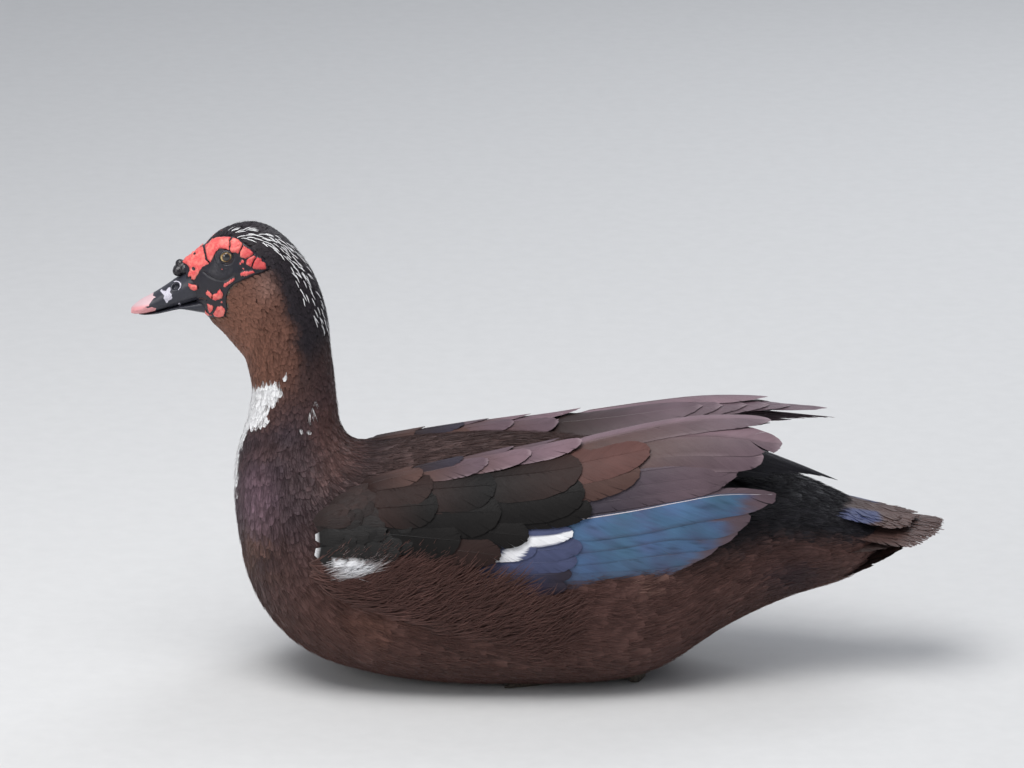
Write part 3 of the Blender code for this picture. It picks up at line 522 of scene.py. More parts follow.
def coatColour(s, turn, chance):
    # the plumage's colour by section and turn: a dark glossy nape and crown, warm cheek and throat, plum
    # lower neck, a tan flush at the breast, chocolate body, a glossy black rump, and painted sheen on the
    # cheek, the breast's front and the top of the back
    points = bodyPoint(s, turn)
    upward = np.cos(turn)
    cloud = softNoise(points, 0.09, 3)
    fine = softNoise(points, 0.03, 5)
    colour = blendTo(plumage["chocolate"], plumage["maroon"], 0.5 + 0.5 * cloud)
    across, up = sideView(points)

    def patch(x, y, wide, high):
        # a soft oval of 1 in its middle, placed on the side view
        return np.exp(-(((across - (x - 539) * 0.8) / wide) ** 2) - ((up - (668 - y) * 0.8) / high) ** 2)

    throat = ease(-upward, -0.35, 0.75) * ease(s, 0.5, 2.0) * (1 - ease(s, 5.6, 8.6))
    neckTone = blendTo(plumage["cheek"], plumage["warm"], np.clip(throat + 0.25 * fine, 0, 1))
    colour = blendTo(colour, neckTone, 1 - ease(s, 7.5, 10))
    # painted sheen on the cheek behind the face
    colour = blendTo(colour, plumage["cheekSheen"],
        np.clip(patch(271, 289, 9, 10) * (0.75 + 0.4 * fine), 0, 1))
    rear = insideBy(across, up, fromPicture(faceForm["outline"])) + 2.2
    buff = ease(rear, 0.0, 1.6) * patch(232, 300, 9, 17)
    colour = blendTo(colour, plumage["buff"], np.clip(buff * 1.2, 0, 1))
    lowNeck = ease(s, 7.0, 10.0) * (1 - ease(s, 13.0, 15.5))
    colour = blendTo(colour, plumage["plum"], lowNeck * (0.8 + 0.2 * fine))
    # painted purple sheen at the breast's front
    colour = blendTo(colour, plumage["purpleSheen"],
        np.clip(patch(256, 500, 14, 24) * (0.75 + 0.35 * fine), 0, 1))
    napeEdge = 0.05 + 0.12 * fine + 0.25 * ease(s, 2.5, 5.0)
    dark = ease(upward, napeEdge - 0.18, napeEdge + 0.22) * (1 - ease(s, 7.2, 9.6))
    colour = blendTo(colour, plumage["nape"], dark)
    rearNeck = ease(upward, 0.2, 0.8) * ease(s, 8.5, 10.5) * (1 - ease(s, 12.5, 14.0))
    colour = blendTo(colour, plumage["maroon"], rearNeck * 0.8)
    flush = patch(258, 554, 20, 18)
    colour = blendTo(colour, plumage["tan"], np.clip(flush * (0.35 + 0.6 * fine), 0, 0.9))
    colour = blendTo(colour, plumage["warm"], np.clip(patch(375, 622, 30, 20) * (0.25 + 0.3 * fine), 0, 1))
    # the top of the back: its own brown with painted sky sheen in it
    mantleWithSheen = ease(upward, 0.1, 0.6) * ease(s, 12.5, 14.5)
    colour = blendTo(colour, plumage["deep"], mantleWithSheen * 0.8)
    rumpBlack = ease(upward, -0.05, 0.45) * ease(s, 20.5, 21.8)
    colour = blendTo(colour, plumage["black"], rumpBlack)
    colour = blendTo(colour, plumage["plum"], np.clip(patch(790, 576, 24, 14), 0, 1) * 0.8)
    # a small lighter spot on the near side's flank, in the same colour
    colour = blendTo(colour, plumage["cheekSheen"],
        np.clip(patch(643, 585, 4, 7), 0, 1) * (points[..., 1] < 0))
    fringe = ease(-upward, 0.75, 0.98) * ease(s, 22.0, 24.0)
    colour = blendTo(colour, plumage["warm"], fringe * 0.4)
    colour = colour * (0.88 + 0.24 * chance)[..., None]
    gloss = np.clip(dark + rumpBlack + 0.5 * lowNeck, 0, 1)
    white = whiteness(points)
    return blendTo(colour, plumage["white"], white), gloss * (1 - white)


skinForm = {
    "rows": 330, "around": 200,
    "depth": ((0, 0.5), (2, 0.8), (5, 1.4), (9, 2.0), (13, 3.0), (18, 4.0), (23, 3.6), (26, 2.0)),
}


def coatDepth(s):
    # how far the skin lies inside the solids, in metres
    return np.interp(s, *zip(*skinForm["depth"])) * mm


def plumageMaterial(name, sheen, roughness, bumpDepth):
    # feathers take their colour from their own attribute; fine barbs run along each one
    graph = Graph(name)
    own = graph.uv("feather")
    chance = graph.number("chance")
    streaks = graph.noise(graph.stretched(own, (26.0, 2.2, 1.0), chance * 40.0), 1.0, 2.0)
    barbs = graph.noise(graph.stretched(own, (60.0, 5.0, 1.0), chance * 90.0), 1.0, 1.0)
    tone = graph.ramp(streaks, 0.25, 0.75)
    parts = graph.node("SeparateXYZ", {}, {0: own}, 1)
    # each feather's root half is darker than its outer half: painted shade where the feathers above cover
    # it
    lighter = 0.62 + 0.5 * tone + 0.22 * graph.ramp(parts, 0.45, 1.0)
    colour = graph.scaled(graph.colour("tint"), lighter)
    gloss = graph.number("gloss")
    rough = roughness + 0.18 * tone - 0.2 * gloss
    height = 0.6 * streaks + 0.4 * barbs
    links = {"Base Color": colour, "Roughness": rough, "Normal": graph.bump(height, 0.5, bumpDepth)}
    return graph.finish(links, {"Sheen Weight": sheen, "Sheen Roughness": 0.4, "Specular IOR Level": 0.22})


def skinMaterial():
    graph = Graph("downUnderFeathers")
    fuzz = graph.noise(graph.place(), 420.0, 3.0)
    colour = graph.scaled(graph.colour("tint"), 0.5 + 0.6 * fuzz)
    links = {"Base Color": colour, "Roughness": 0.75 + 0.2 * fuzz, "Normal": graph.bump(fuzz, 0.6, 0.0012)}
    return graph.finish(links, {"Sheen Weight": 0.2})


def makeSkin():
    # the whole body as rings of points inside the solids by the coat's depth
    s = np.linspace(0.02, lastSection, skinForm["rows"])[:, None]
    turn = (np.arange(skinForm["around"]) * 2 * math.pi / skinForm["around"])[None, :]
    s, turn = np.broadcast_arrays(s, turn)
    rings = bodyPoint(s, turn, -coatDepth(s))
    colour, gloss = coatColour(s, turn, np.full(s.shape, 0.45))
    colour = np.minimum(colour, 0.3) * 0.7
    uv = np.stack([turn / (2 * math.pi), s / lastSection], -1)
    skin = closedTube("bodySkin", rings, {"tint": colour}, False, {"OFBake": uv})
    nodes = ("head", "neck_upper", "neck_lower", "torso", "rump")
    return settle(skin, skinMaterial(), nodes)


bodySurface = (bodyPoint, 0.02, 0.01)
patchSize = 0.003  # width of each feather on the OFBake map


def scatter(sLow, sHigh, spacing, keep=None):
    # places spread by area, thinned to one in each small cube of the spacing
    s = np.linspace(sLow, sHigh, 160)
    turn = np.linspace(0, 2 * math.pi, 181)
    grid = bodyPoint(s[:, None], turn[None, :])
    cells = np.cross(grid[1:, :-1] - grid[:-1, :-1], grid[:-1, 1:] - grid[:-1, :-1])
    area = np.linalg.norm(cells, axis=-1)
    share = (area / area.sum()).ravel()
    count = int(area.sum() / spacing**2 * 7)
    cell = random.choice(len(share), count, p=share)
    row, col = np.divmod(cell, len(turn) - 1)
    atS = s[row] + random.random(count) * (s[1] - s[0])
    atTurn = turn[col] + random.random(count) * (turn[1] - turn[0])
    points = bodyPoint(atS, atTurn)
    cube = np.floor(points / spacing + random.random(3)).astype(np.int64)
    key = (cube[:, 0] * 4001 + cube[:, 1]) * 4001 + cube[:, 2]
    _, first = np.unique(key, return_index=True)
    atS, atTurn, points = atS[first], atTurn[first], points[first]
    if keep is not None:
        kept = keep(atS, atTurn, points)
        atS, atTurn = atS[kept], atTurn[kept]
    return atS, atTurn


def feathersOn(surface, p, q, spec, unwrap, flipped=False, heading=0.0):
    # closed vanes from their roots along the surface: the width follows the shape's shares, the height
    # climbs from the root to the tip and falls to the edges, and the tip's points are ragged
    count = len(p)
    rows, cols = spec["rows"], spec["cols"]
    length = spec["length"] * mm * random.uniform(0.85, 1.15, count)
    turned = heading + random.normal(0, spec["scatter"], count)
    line, aside = march(surface, p, q, turned, length, rows)
    share = np.linspace(0, 1, rows)
    across = np.linspace(-1, 1, cols)
    width = np.interp(share, *zip(*spec["shape"])) * spec["width"] * mm
    reach = width[None, :, None] * across[None, None, :] * random.uniform(0.88, 1.12, count)[:, None, None]
    gridP = line[0][..., None] + aside[0][..., None] * reach
    gridQ = line[1][..., None] + aside[1][..., None] * reach
    lift = np.interp(share, (0, 0.35, 1), spec["lift"]) * mm
    lift = lift[None, :, None] + random.uniform(-0.5, 0.5, count)[:, None, None] * spec["unevenness"] * mm
    lift = lift - spec["camber"] * mm * (across**2)[None, None, :] * share[None, :, None]
    lift = np.broadcast_to(lift, gridP.shape).copy()
    rag = random.uniform(-1, 1, (count, cols)) * spec["rag"] * mm
    back = metres(surface, line[0][:, -1], line[1][:, -1])
    outP, outQ = back(1.0, 0.0)
    gridP[:, -1, :] += rag * outP[:, None]
    gridQ[:, -1, :] += rag * outQ[:, None]
    point = surface[0]
    upper = point(gridP, gridQ, lift).reshape(count, -1, 3)
    inner = (slice(None), slice(1, -1), slice(1, -1))
    lower = point(gridP[inner], gridQ[inner], lift[inner] - spec["thick"] * mm).reshape(count, -1, 3)
    own = np.stack(np.broadcast_arrays((across[None, :] + 1) / 2, share[:, None]), -1)
    own = np.concatenate([own.reshape(-1, 2), own[1:-1, 1:-1].reshape(-1, 2)])
    each = len(own)
    bake = unwrap(p, q)[:, None, :] + (own[None] - 0.5) * patchSize
    chance = random.random(count)
    return {
        "points": np.concatenate([upper, lower], 1).reshape(-1, 3),
        "faces": repeated(vaneFaces(rows, cols), count, each, flipped),
        "uvs": {"feather": np.tile(own, (count, 1)), "OFBake": bake.reshape(-1, 2)},
        "numbers": {"chance": np.repeat(chance, each)},
        "each": each, "p": p, "q": q, "chance": chance,
    }


def strandsOn(surface, p, q, spec, unwrap, heading, chance, flipped=False):
    # four-sided tapering barbs that lie along the surface and rise a little at their tips
    count, rows = len(p), spec.get("steps", 2)
    length = spec["length"] * mm * random.uniform(0.7, 1.25, count)
    turned = heading + random.normal(0, spec["scatter"], count)
    line, aside = march(surface, p, q, turned, length, rows)
    share = np.linspace(0, 1, rows)
    corner = np.arange(4) * math.pi / 2 + math.pi / 4
    thick = np.interp(share, (0, 0.5, 1), (0.8, 1.0, 0.12)) * spec["width"] * mm
    reach = thick[None, :, None] * np.cos(corner)[None, None, :]
    rise = np.interp(share, (0, 1), spec["lift"]) * mm
    rise = rise[None, :, None] + random.uniform(-0.5, 0.5, count)[:, None,
        None] * spec["unevenness"] * mm * share[None, :, None]
    rise = rise + thick[None, :, None] * np.sin(corner)[None, None, :] * 0.6
    gridP = line[0][..., None] + aside[0][..., None] * reach
    gridQ = line[1][..., None] + aside[1][..., None] * reach
    points = surface[0](gridP, gridQ, rise)
    grid = np.arange(rows * 4).reshape(rows, 4)
    grid = np.concatenate([grid, grid[:, :1]], 1)
    faces = withLids(gridFaces(grid), rows, 4)[:, ::-1]
    own = np.stack(np.broadcast_arrays(np.full((1, 4), 0.5), share[:, None]), -1).reshape(-1, 2)
    each = rows * 4
    bake = unwrap(p, q)[:, None, :] + (own[None] - 0.5) * patchSize
    return {
        "points": points.reshape(-1, 3), "faces": repeated(faces, count, each, flipped),
        "uvs": {"feather": np.tile(own, (count, 1)), "OFBake": bake.reshape(-1, 2)},
        "numbers": {"chance": np.repeat(chance, each)},
        "each": each, "p": p, "q": q, "chance": chance,
    }


def bodyUnwrap(s, turn):
    return np.stack([(turn % (2 * math.pi)) / (2 * math.pi), s / lastSection], -1)


def coloured(part, ahead):
    # paints each feather as the plumage is a little behind its root
    colour, gloss = coatColour(np.clip(part["p"] + ahead, 0, lastSection), part["q"], part["chance"])
    part["numbers"]["tint"] = np.repeat(colour, part["each"], axis=0)
    part["numbers"]["gloss"] = np.repeat(gloss, part["each"])
    return part


roundShape = ((0, 0.35), (0.3, 0.85), (0.6, 1.0), (0.85, 0.85), (1, 0.38))
bodyFeathers = {
    "crownFeathers": {"s": (0.3, 2.6), "spacing": 1.9, "length": 4.6, "width": 1.3,
        "lift": (-0.9, 0.1, 0.6)},
    "faceFeathers": {"s": (2.6, 5.2), "spacing": 2.2, "length": 5.6, "width": 1.5,
        "lift": (-1.3, 0.0, 0.6)},
    "neckFeathers": {"s": (5.2, 8.4), "spacing": 2.7, "length": 7.4, "width": 2.0,
        "lift": (-1.8, -0.2, 0.6)},
    "lowNeckFeathers": {"s": (8.4, 11.4), "spacing": 3.6, "length": 10.0, "width": 2.9,
        "lift": (-2.2, -0.4, 0.6)},
    "breastFeathers": {"s": (11.4, 14.6), "spacing": 5.0, "length": 15.0, "width": 4.4,
        "lift": (-3.0, -0.9, 0.4)},
    "keelFeathers": {"s": (14.6, 17.6), "spacing": 8.0, "length": 21.0, "width": 6.6,
        "lift": (-3.6, -1.4, 0.2)},
    "bellyFeathers": {"s": (17.6, 21.2), "spacing": 9.5, "length": 30.0, "width": 9.5,
        "lift": (-4.2, -1.6, 0.2)},
    "rumpFeathers": {"s": (21.2, 24.8), "spacing": 8.0, "length": 29.0, "width": 7.5,
        "lift": (-3.8, -1.4, 0.6)},
}
featherBasics = {
    "rows": 5, "cols": 3, "scatter": 0.14, "shape": roundShape, "unevenness": 0.5, "camber": 0.3,
    "rag": 0.6, "thick": 0.3,
}
largeBasics = {"rows": 7, "cols": 5, "camber": 0.6, "rag": 1.4, "thick": 0.4, "unevenness": 0.5}


def offTheFace(s, turn, points):
    # feathers grow outside the bare skin, and none on the crown's side of the knob
    across, up = sideView(points)
    inside = insideBy(across, up, fromPicture(faceForm["outline"]))
    onTop = (np.abs(np.sin(turn)) < 0.35) & (np.cos(turn) > 0)
    return (inside < 0.2) | (onTop & (s > 0.5)) | (s > 5)


def underWing(points):
    # the places that a folded wing covers: between its top and bottom edges, and short of its ends
    x, y, z = points[..., 0] / mm, np.abs(points[..., 1]) / mm, points[..., 2] / mm
    value = hermite(wingRows[:, 0], wingRows[:, 1:], np.clip(x, -186, 236))
    ends = (x > -158) & (x < 165)
    return ends & (z > value[..., 3] + 14) & (y > value[..., 0] + 8)


def inTheOpen(s, turn, points):
    return ~underWing(points)


def makeBodyFeathers():
    small = plumageMaterial("neckPlumage", 0.06, 0.5, 0.0006)
    large = plumageMaterial("bodyPlumage", 0.06, 0.52, 0.0012)
    for name, own in bodyFeathers.items():
        big = own["spacing"] > 5
        spec = {**featherBasics, **(largeBasics if big else {}), **own}
        s, turn = scatter(*own["s"], own["spacing"] * mm, offTheFace if own["s"][0] < 5 else inTheOpen)
        part = coloured(feathersOn(bodySurface, s, turn, spec, bodyUnwrap), 0.25)
        asPiece(name, [part], large if big else small)


tuftForm = {  # loose barbs in small fans
    "neckBarbs": {"s": (4.2, 9.4), "spacing": 3.2, "length": 7.5, "width": 0.22, "lift": (-0.5, 1.1),
        "barbs": 4},
    "lowNeckBarbs": {"s": (9.4, 12.6), "spacing": 4.2, "length": 11.0, "width": 0.32,
        "lift": (-0.6, 1.4), "barbs": 4},
    "breastBarbs": {"s": (12.6, 16.5), "spacing": 5.4, "length": 17.0, "width": 0.46,
        "lift": (-1.0, 1.6), "barbs": 5},
    "bellyBarbs": {"s": (16.5, 21.3), "spacing": 7.7, "length": 24.0, "width": 0.64, "lift": (-1.2, 1.7),
        "barbs": 6},
    "rumpBarbs": {"s": (21.3, 25.2), "spacing": 6.2, "length": 24.0, "width": 0.55, "lift": (-1.0, 1.8),
        "barbs": 5},
}
tuftBasics = {"spread": 0.22, "scatter": 0.09, "unevenness": 0.9}


streakForm = {
    "rows": 5, "cols": 3, "length": 8.0, "width": 0.42,
    "shape": ((0, 0.4), (0.3, 1.0), (0.7, 0.9), (1, 0.15)), "scatter": 0.14,
    "unevenness": 0.3, "camber": 0.1, "rag": 0.3, "thick": 0.2, "lift": (-0.4, 1.0, 1.7),
    "crown": 0.34, "nape": 0.20,  # shares of the places in each band that carry a streak
}


def makeStreaks():
    # thin white feathers in curved bands over the crown and down the nape
    s, turn = scatter(0.8, 8.0, 2.3 * mm)
    points = bodyPoint(s, turn)
    across, up = sideView(points)
    chance = random.random(len(s))
    keep = np.zeros(len(s), bool)
    for band in ("crown", "nape"):
        inside = insideBy(across, up, fromPicture(whiteMarks[band + "Streaks"])) > 0
        keep |= inside & (chance < streakForm[band])
    part = feathersOn(bodySurface, s[keep], turn[keep], streakForm, bodyUnwrap)
    white = np.array(plumage["white"]) * (0.75 + 0.25 * part["chance"])[:, None]
    part["numbers"]["tint"] = np.repeat(white, part["each"], axis=0)
    part["numbers"]["gloss"] = np.zeros(len(part["points"]))
    asPiece("whiteStreaks", [part], bpy.data.materials["neckPlumage"])


def tufts(surface, p, q, spec, unwrap, heading=0.0, flipped=False):
    # a fan of barbs from each place, all of one tint and each a little lighter or darker
    count, barbs = len(p), spec["barbs"]
    spread = np.tile(np.linspace(-spec["spread"], spec["spread"], barbs), count)
    chance = np.repeat(random.random(count), barbs) * 0.6 + random.random(count * barbs) * 0.4
    return strandsOn(surface, np.repeat(p, barbs), np.repeat(q, barbs), spec, unwrap, heading + spread,
        chance, flipped)


def makeTufts():
    # hair-like barbs over the feathers, which make the plumage soft
    material = plumageMaterial("looseBarbs", 0.08, 0.55, 0.0002)
    for name, own in tuftForm.items():
        spec = {**tuftBasics, **own}
        s, turn = scatter(*spec["s"], spec["spacing"] * mm, offTheFace if spec["s"][0] < 5 else inTheOpen)
        part = coloured(tufts(bodySurface, s, turn, spec, bodyUnwrap), 0.3)
        light = 0.75 + 0.6 * part["chance"]
        part["numbers"]["tint"] = part["numbers"]["tint"] * np.repeat(light, part["each"])[:, None]
        asPiece(name, [part], material, (), None)


flightShape = ((0, 0.25), (0.12, 0.62), (0.3, 0.95), (0.5, 1.0), (0.78, 0.98), (0.88, 0.86),
    (0.95, 0.62), (0.985, 0.34), (1.0, 0.0))
bluntShape = ((0, 0.25), (0.15, 0.7), (0.35, 1.0), (0.7, 0.94), (0.86, 0.74), (0.94, 0.48), (0.985, 0.2),
    (1.0, 0.0))
pointedShape = ((0, 0.3), (0.15, 0.8), (0.4, 1.0), (0.7, 0.86), (0.86, 0.58), (0.95, 0.32), (1.0, 0.0))
covertShape = ((0, 0.3), (0.2, 0.75), (0.5, 1.0), (0.72, 0.98), (0.86, 0.82), (0.94, 0.58), (0.985, 0.3),
    (1.0, 0.0))
barbForm = {"groups": 22, "rows": 3, "cols": 6, "angle": (52, 24), "thick": 0.3, "shaft": 0.5}


def barbReach(start, angle, width, length, shape):
    # how far each barb goes before it meets the feather's outline, by halving the range where it must lie
    low = np.zeros(np.broadcast(start, angle).shape)
    high = np.minimum((1.0 - start) * length / np.cos(angle) + 1e-6, 3 * width)
    for _ in range(18):
        middle = (low + high) / 2
        edge = width * np.interp(start + middle * np.cos(angle) / length, *zip(*shape))
        over = middle * np.sin(angle) > edge
        low, high = np.where(over, low, middle), np.where(over, middle, high)
    return (low + high) / 2


def featherPath(surface, path):
    # a curve through the path's places, by their share of its length, with the way to its side
    knots = np.array(path, float) * [mm, 1]
    share = (knots[:, 0] - knots[0, 0]) / (knots[-1, 0] - knots[0, 0])
    table = np.linspace(-0.01, 1.05, 40)
    line = hermite(share, knots, table) if len(knots) > 2 else knots[0] + (knots[1]
        - knots[0]) * table[:, None]
    pathP, pathQ = line[:, 0], line[:, 1]
    centre = surface[0](pathP, pathQ, 0)
    length = np.linalg.norm(np.diff(centre, axis=0), axis=1).sum() / (table[-1] - table[0])
    ahead = np.gradient(centre, axis=0)
    ahead /= np.linalg.norm(ahead, axis=1)[:, None]
    alongP, alongQ = surfaceFrame(surface, pathP, pathQ)
    unitP = alongP / np.linalg.norm(alongP, axis=1)[:, None]
    acrossQ = alongQ - (alongQ * unitP).sum(1)[:, None] * unitP
    acrossQ /= np.linalg.norm(acrossQ, axis=1)[:, None]
    heading = np.arctan2((ahead * acrossQ).sum(1), (ahead * unitP).sum(1))
    sideP, sideQ = metres(surface, pathP, pathQ)(-np.sin(heading), np.cos(heading))
    return table, pathP, pathQ, sideP, sideQ, length


def longFeather(surface, spec, paint, side, strip):
    # barbs leave the shaft at an angle that narrows to the tip and end on the outline; they lie in
    # groups, each a thin closed patch that leans a little from its neighbours or parts from them
    form = {**barbForm, **spec}
    table, pathP, pathQ, sideP, sideQ, length = featherPath(surface, spec["path"])
    seed = np.random.default_rng(int(abs(spec["path"][0][0] * 131 + spec["path"][-1][0] * 977 + strip[0]
        * 13)))
    parts = []
    groups, rows, cols = form["groups"], form["rows"], form["cols"]
    faces = vaneFaces(rows, cols)
    for edge in (-1, 1):
        width = form["width"][0 if edge < 0 else 1] * mm
        start = (np.arange(groups)[:, None] + np.linspace(0, 1.03, rows)[None, :]) / groups
        start = np.minimum(0.02 + 0.98 * start**0.85, 0.997)
        across = np.linspace(0, 1, cols)
        turned = np.radians(np.interp(start, (0, 0.75, 1),
            (form["angle"][0], form["angle"][1] + 6, form["angle"][1] - 8)))
        barb = barbReach(start, turned, width, length, form["shape"])
        lean = seed.normal(0, form.get("lean", 0.35), groups)[:, None, None] * mm
        along = start[..., None] * length + (barb * np.cos(turned))[...,
            None] * across * (0.8 + 0.2 * across)
        along = along + lean * across**2 * np.clip(barb / width, 0, 1)[..., None]
        out = (barb * np.sin(turned))[..., None] * across * (1.12 - 0.12 * across)
        for gapEdge, at, size in form.get("splits", ()):
            if gapEdge == edge:
                behind = np.sign(start[:, 1] - at)
                near = np.exp(-np.abs(start[:, 1] - at) / 0.05)
                along = along + (behind * near * size * 0.5 * mm)[:, None, None] * across**1.3
        share = along / length
        p = np.interp(share, table, pathP) + np.interp(share, table, sideP) * out * edge
        q = np.interp(share, table, pathQ) + np.interp(share, table, sideQ) * out * edge
        lift = np.interp(share, (0, 0.25, 1), form["lift"]) - form.get("camber", 1.0) * (out / width) ** 2
        lift = (lift + seed.normal(0, form.get("ripple", 0.04), groups)[:, None, None] * across) * mm
        upper = surface[0](p, q, lift)
        inner = (slice(None), slice(1, -1), slice(1, -1))
        lower = surface[0](p[inner], q[inner], lift[inner] - form["thick"] * mm)
        sideways = out / width * edge
        every = np.concatenate([upper.reshape(groups, -1, 3), lower.reshape(groups, -1, 3)], 1)
        shares = np.concatenate([share.reshape(groups, -1), share[inner].reshape(groups, -1)], 1).ravel()
        acrosses = np.concatenate([sideways.reshape(groups, -1), sideways[inner].reshape(groups, -1)],
            1).ravel()
        each = every.shape[1]
        flip = (edge > 0) != (side < 0)
        parts.append({
            "points": every.reshape(-1, 3), "faces": repeated(faces, groups, each, flip),
            "share": shares, "across": acrosses, "chance": np.repeat(seed.random(groups), each),
        })
    parts.append(shaftOf(surface, form, table, pathP, pathQ, sideP, sideQ, side))
    for part in parts:
        tint, gloss = paint(part["share"], part["across"], part["points"], part["chance"])
        own = np.stack([(part["across"] + 1) / 2, part["share"]], -1)
        bake = np.stack([(strip[0] + 0.1 + 0.8 * np.clip(own[:, 0], 0, 1)) / strip[1],
            0.02 + 0.9 * own[:, 1]], -1)
        shaft = np.full(len(own), float(part.get("shaft", 0)))
        if "shaft" in part and "shaftTint" in spec:
            tint = np.broadcast_to(np.array(spec["shaftTint"], float), tint.shape).copy()
        part["uvs"] = {"feather": own, "OFBake": bake}
        part["numbers"] = {"tint": tint, "gloss": gloss, "chance": part["chance"], "shaft": shaft}
    return parts


def shaftOf(surface, form, table, pathP, pathQ, sideP, sideQ, side):
    # a four-sided quill on the vane's middle line, a quarter as wide at its tip as at its root
    rows, cols = 16, 4
    share = np.linspace(0, 0.985, rows)
    half = np.interp(share, (0, 1), (form["shaft"], form["shaft"] * 0.25)) * mm
    out = np.array([-1, 0, 1, 0])[None, :] * half[:, None]
    height = np.interp(share, (0, 0.25, 1), form["lift"])[:, None] * mm
    height = height + np.array([0.0, 0.6, 0.0, -0.5])[None, :] * half[:, None] + 0.05 * mm
    p = np.interp(share, table, pathP)[:, None] + np.interp(share, table, sideP)[:, None] * out
    q = np.interp(share, table, pathQ)[:, None] + np.interp(share, table, sideQ)[:, None] * out
    points = surface[0](p, q, height)
    grid = np.arange(rows * cols).reshape(rows, cols)
    grid = np.concatenate([grid, grid[:, :1]], 1)
    faces = withLids(gridFaces(grid), rows, cols)
    faces = faces if side < 0 else faces[:, ::-1]
    return {
        "points": points.reshape(-1, 3), "faces": faces, "share": np.repeat(share, cols),
        "across": np.zeros(rows * cols),
        "chance": np.full(rows * cols, 0.5), "shaft": 1,
    }


def flightMaterial(name, shine=0.32):
    # barbs run out from the shaft at a slant, with fine grooves between them
    graph = Graph(name)
    own = graph.uv("feather")
    across = graph.node("SeparateXYZ", {}, {0: own}, 0)
    along = graph.node("SeparateXYZ", {}, {0: own}, 1)
    outward = graph.node("Math", {"operation": "ABSOLUTE"}, {0: across - 0.5})
    slant = along * 10.0 - outward * 3.0
    chance = graph.number("chance")
    joint = graph.node("CombineXYZ", {}, {0: slant * 9.0, 1: outward * 1.2, 2: chance * 3.0})
    barbs = graph.noise(joint, 1.0, 3.0)
    fineJoint = graph.node("CombineXYZ", {}, {0: slant * 40.0, 1: outward * 3.0, 2: chance * 7.0})
    fine = graph.noise(fineJoint, 1.0, 2.0)
    cloud = graph.noise(graph.place(), 34.0, 2.0)
    shaft = graph.number("shaft")
    lighter = (0.78 + 0.28 * barbs + 0.16 * fine) * (0.72 + 0.56 * cloud)
    colour = graph.scaled(graph.colour("tint"), lighter)
    rough = 0.40 + 0.22 * barbs - 0.12 * graph.number("gloss") - 0.1 * shaft
    height = (0.55 * fine + 0.45 * barbs) * (1.0 - shaft)
    links = {"Base Color": colour, "Roughness": rough, "Normal": graph.bump(height, 0.55, 0.0006)}
    return graph.finish(links, {"Sheen Weight": 0.02, "Sheen Roughness": 0.4, "Specular IOR Level": shine})


quill = {
    "brown": (0.080, 0.043, 0.036),
    "olive": (0.0085, 0.0075, 0.007),
    "oliveDark": (0.006, 0.0052, 0.005),
    "umber": (0.026, 0.014, 0.012),
    # this colour and the next are the feathers' brown with painted sky sheen in it, as on upward-facing
    # feathers
    "mauve": (0.172, 0.110, 0.128),
    "mauveMid": (0.112, 0.074, 0.088),
    "mauveDark": (0.034, 0.028, 0.040),
    "rust": (0.105, 0.048, 0.042),
    "blue": (0.072, 0.140, 0.272),
    "teal": (0.060, 0.136, 0.218),
    "violet": (0.075, 0.066, 0.150),
    "slate": (0.072, 0.084, 0.160),
    "pale": (0.330, 0.250, 0.270),
    "inky": (0.034, 0.044, 0.112),
    "white": (0.84, 0.84, 0.85),
    "black": (0.006, 0.005, 0.008),
}


def painter(base, tip=None, edge=None, blue=0.0, rim=0.0, whiteIn=None, gloss=0.4, upper=None,
    mark="white"):
    # a feather's colour from its root to its tip, on the side above its shaft, and out to its edges
    def paint(share, across, points, chance):
        colour = blendTo(quill[base], quill[tip or base], ease(share, 0.2, 0.95))
        if upper:
            colour = blendTo(colour, quill[upper], ease(-across, -0.02, 0.04))
        if edge:
            colour = blendTo(colour, quill[edge], ease(np.abs(across), 0.55, 1.0) * 0.7)
        if blue:
            hue = blendTo(quill["teal"], quill["blue"], 0.5 + 0.6 * softNoise(points, 0.028, 11))
            hue = blendTo(hue, quill["violet"], np.clip(0.55 * softNoise(points, 0.016, 13) + 0.1, 0, 1))
            hue = blendTo(hue, quill["mauveDark"], ease(across, 0.86, 1.0) * 0.5)
            streak = softNoise(points * [0.35, 1, 1], 0.0035, 17)
            hue = hue * (1 - 0.35 * ease(streak, 0.35, 0.7))[:, None]
            sheen = blue * ease(share, 0.02,
                0.1) * (1 - ease(share + 0.12 * softNoise(points, 0.012, 19), 0.86, 0.97))
            colour = blendTo(colour, hue, sheen * (across > -0.03))
            colour = blendTo(colour, quill["mauveMid"], ease(share, 0.86, 0.95) * blue)
        if rim:
            edgeLine = ease(np.abs(across), 0.8, 0.98) * ease(share, 0.3, 0.8)
            colour = blendTo(colour, quill["pale"], rim * np.maximum(edgeLine, ease(share, 0.955, 0.985)))
        if whiteIn is not None:
            x, up = sideView(points)
            inside = insideBy(x, up, whiteIn) + 0.5 * softNoise(points, 0.004, 23)
            colour = blendTo(colour, quill[mark], ease(inside, -0.3, 0.3))
        colour = colour * (0.95 + 0.10 * chance)[:, None]
        return colour, np.full(len(share), gloss)
    return paint


droops = {
    "left": {"start": 110, "end": 238, "power": 1.5, "inwards": 14, "down": 37},
    "right": {"start": 110, "end": 238, "power": 1.5, "inwards": 2, "down": 2},
}
covertWhite = fromPicture([(489, 561), (494, 556), (503, 551), (508, 545), (509, 529), (526, 534),
    (540, 535), (559, 532),
                           (574, 528), (575, 534), (560, 541), (539, 544), (529, 545), (527, 548),
                           (521, 555), (519, 561)])
bendWhite = (  # the sliver and the patch at the bend of the wing
    fromPicture([(309, 520), (313, 519), (318, 534), (322, 553), (317, 556), (313, 540)]),
    fromPicture([(332, 555), (346, 559), (366, 559), (380, 563), (378, 569), (362, 574), (342, 578),
        (335, 566)]),
)
# the dark blue gloss over the tail's base
tailBlue = fromPicture([(836, 512), (850, 508), (880, 512), (882, 521), (862, 526), (838, 522)])

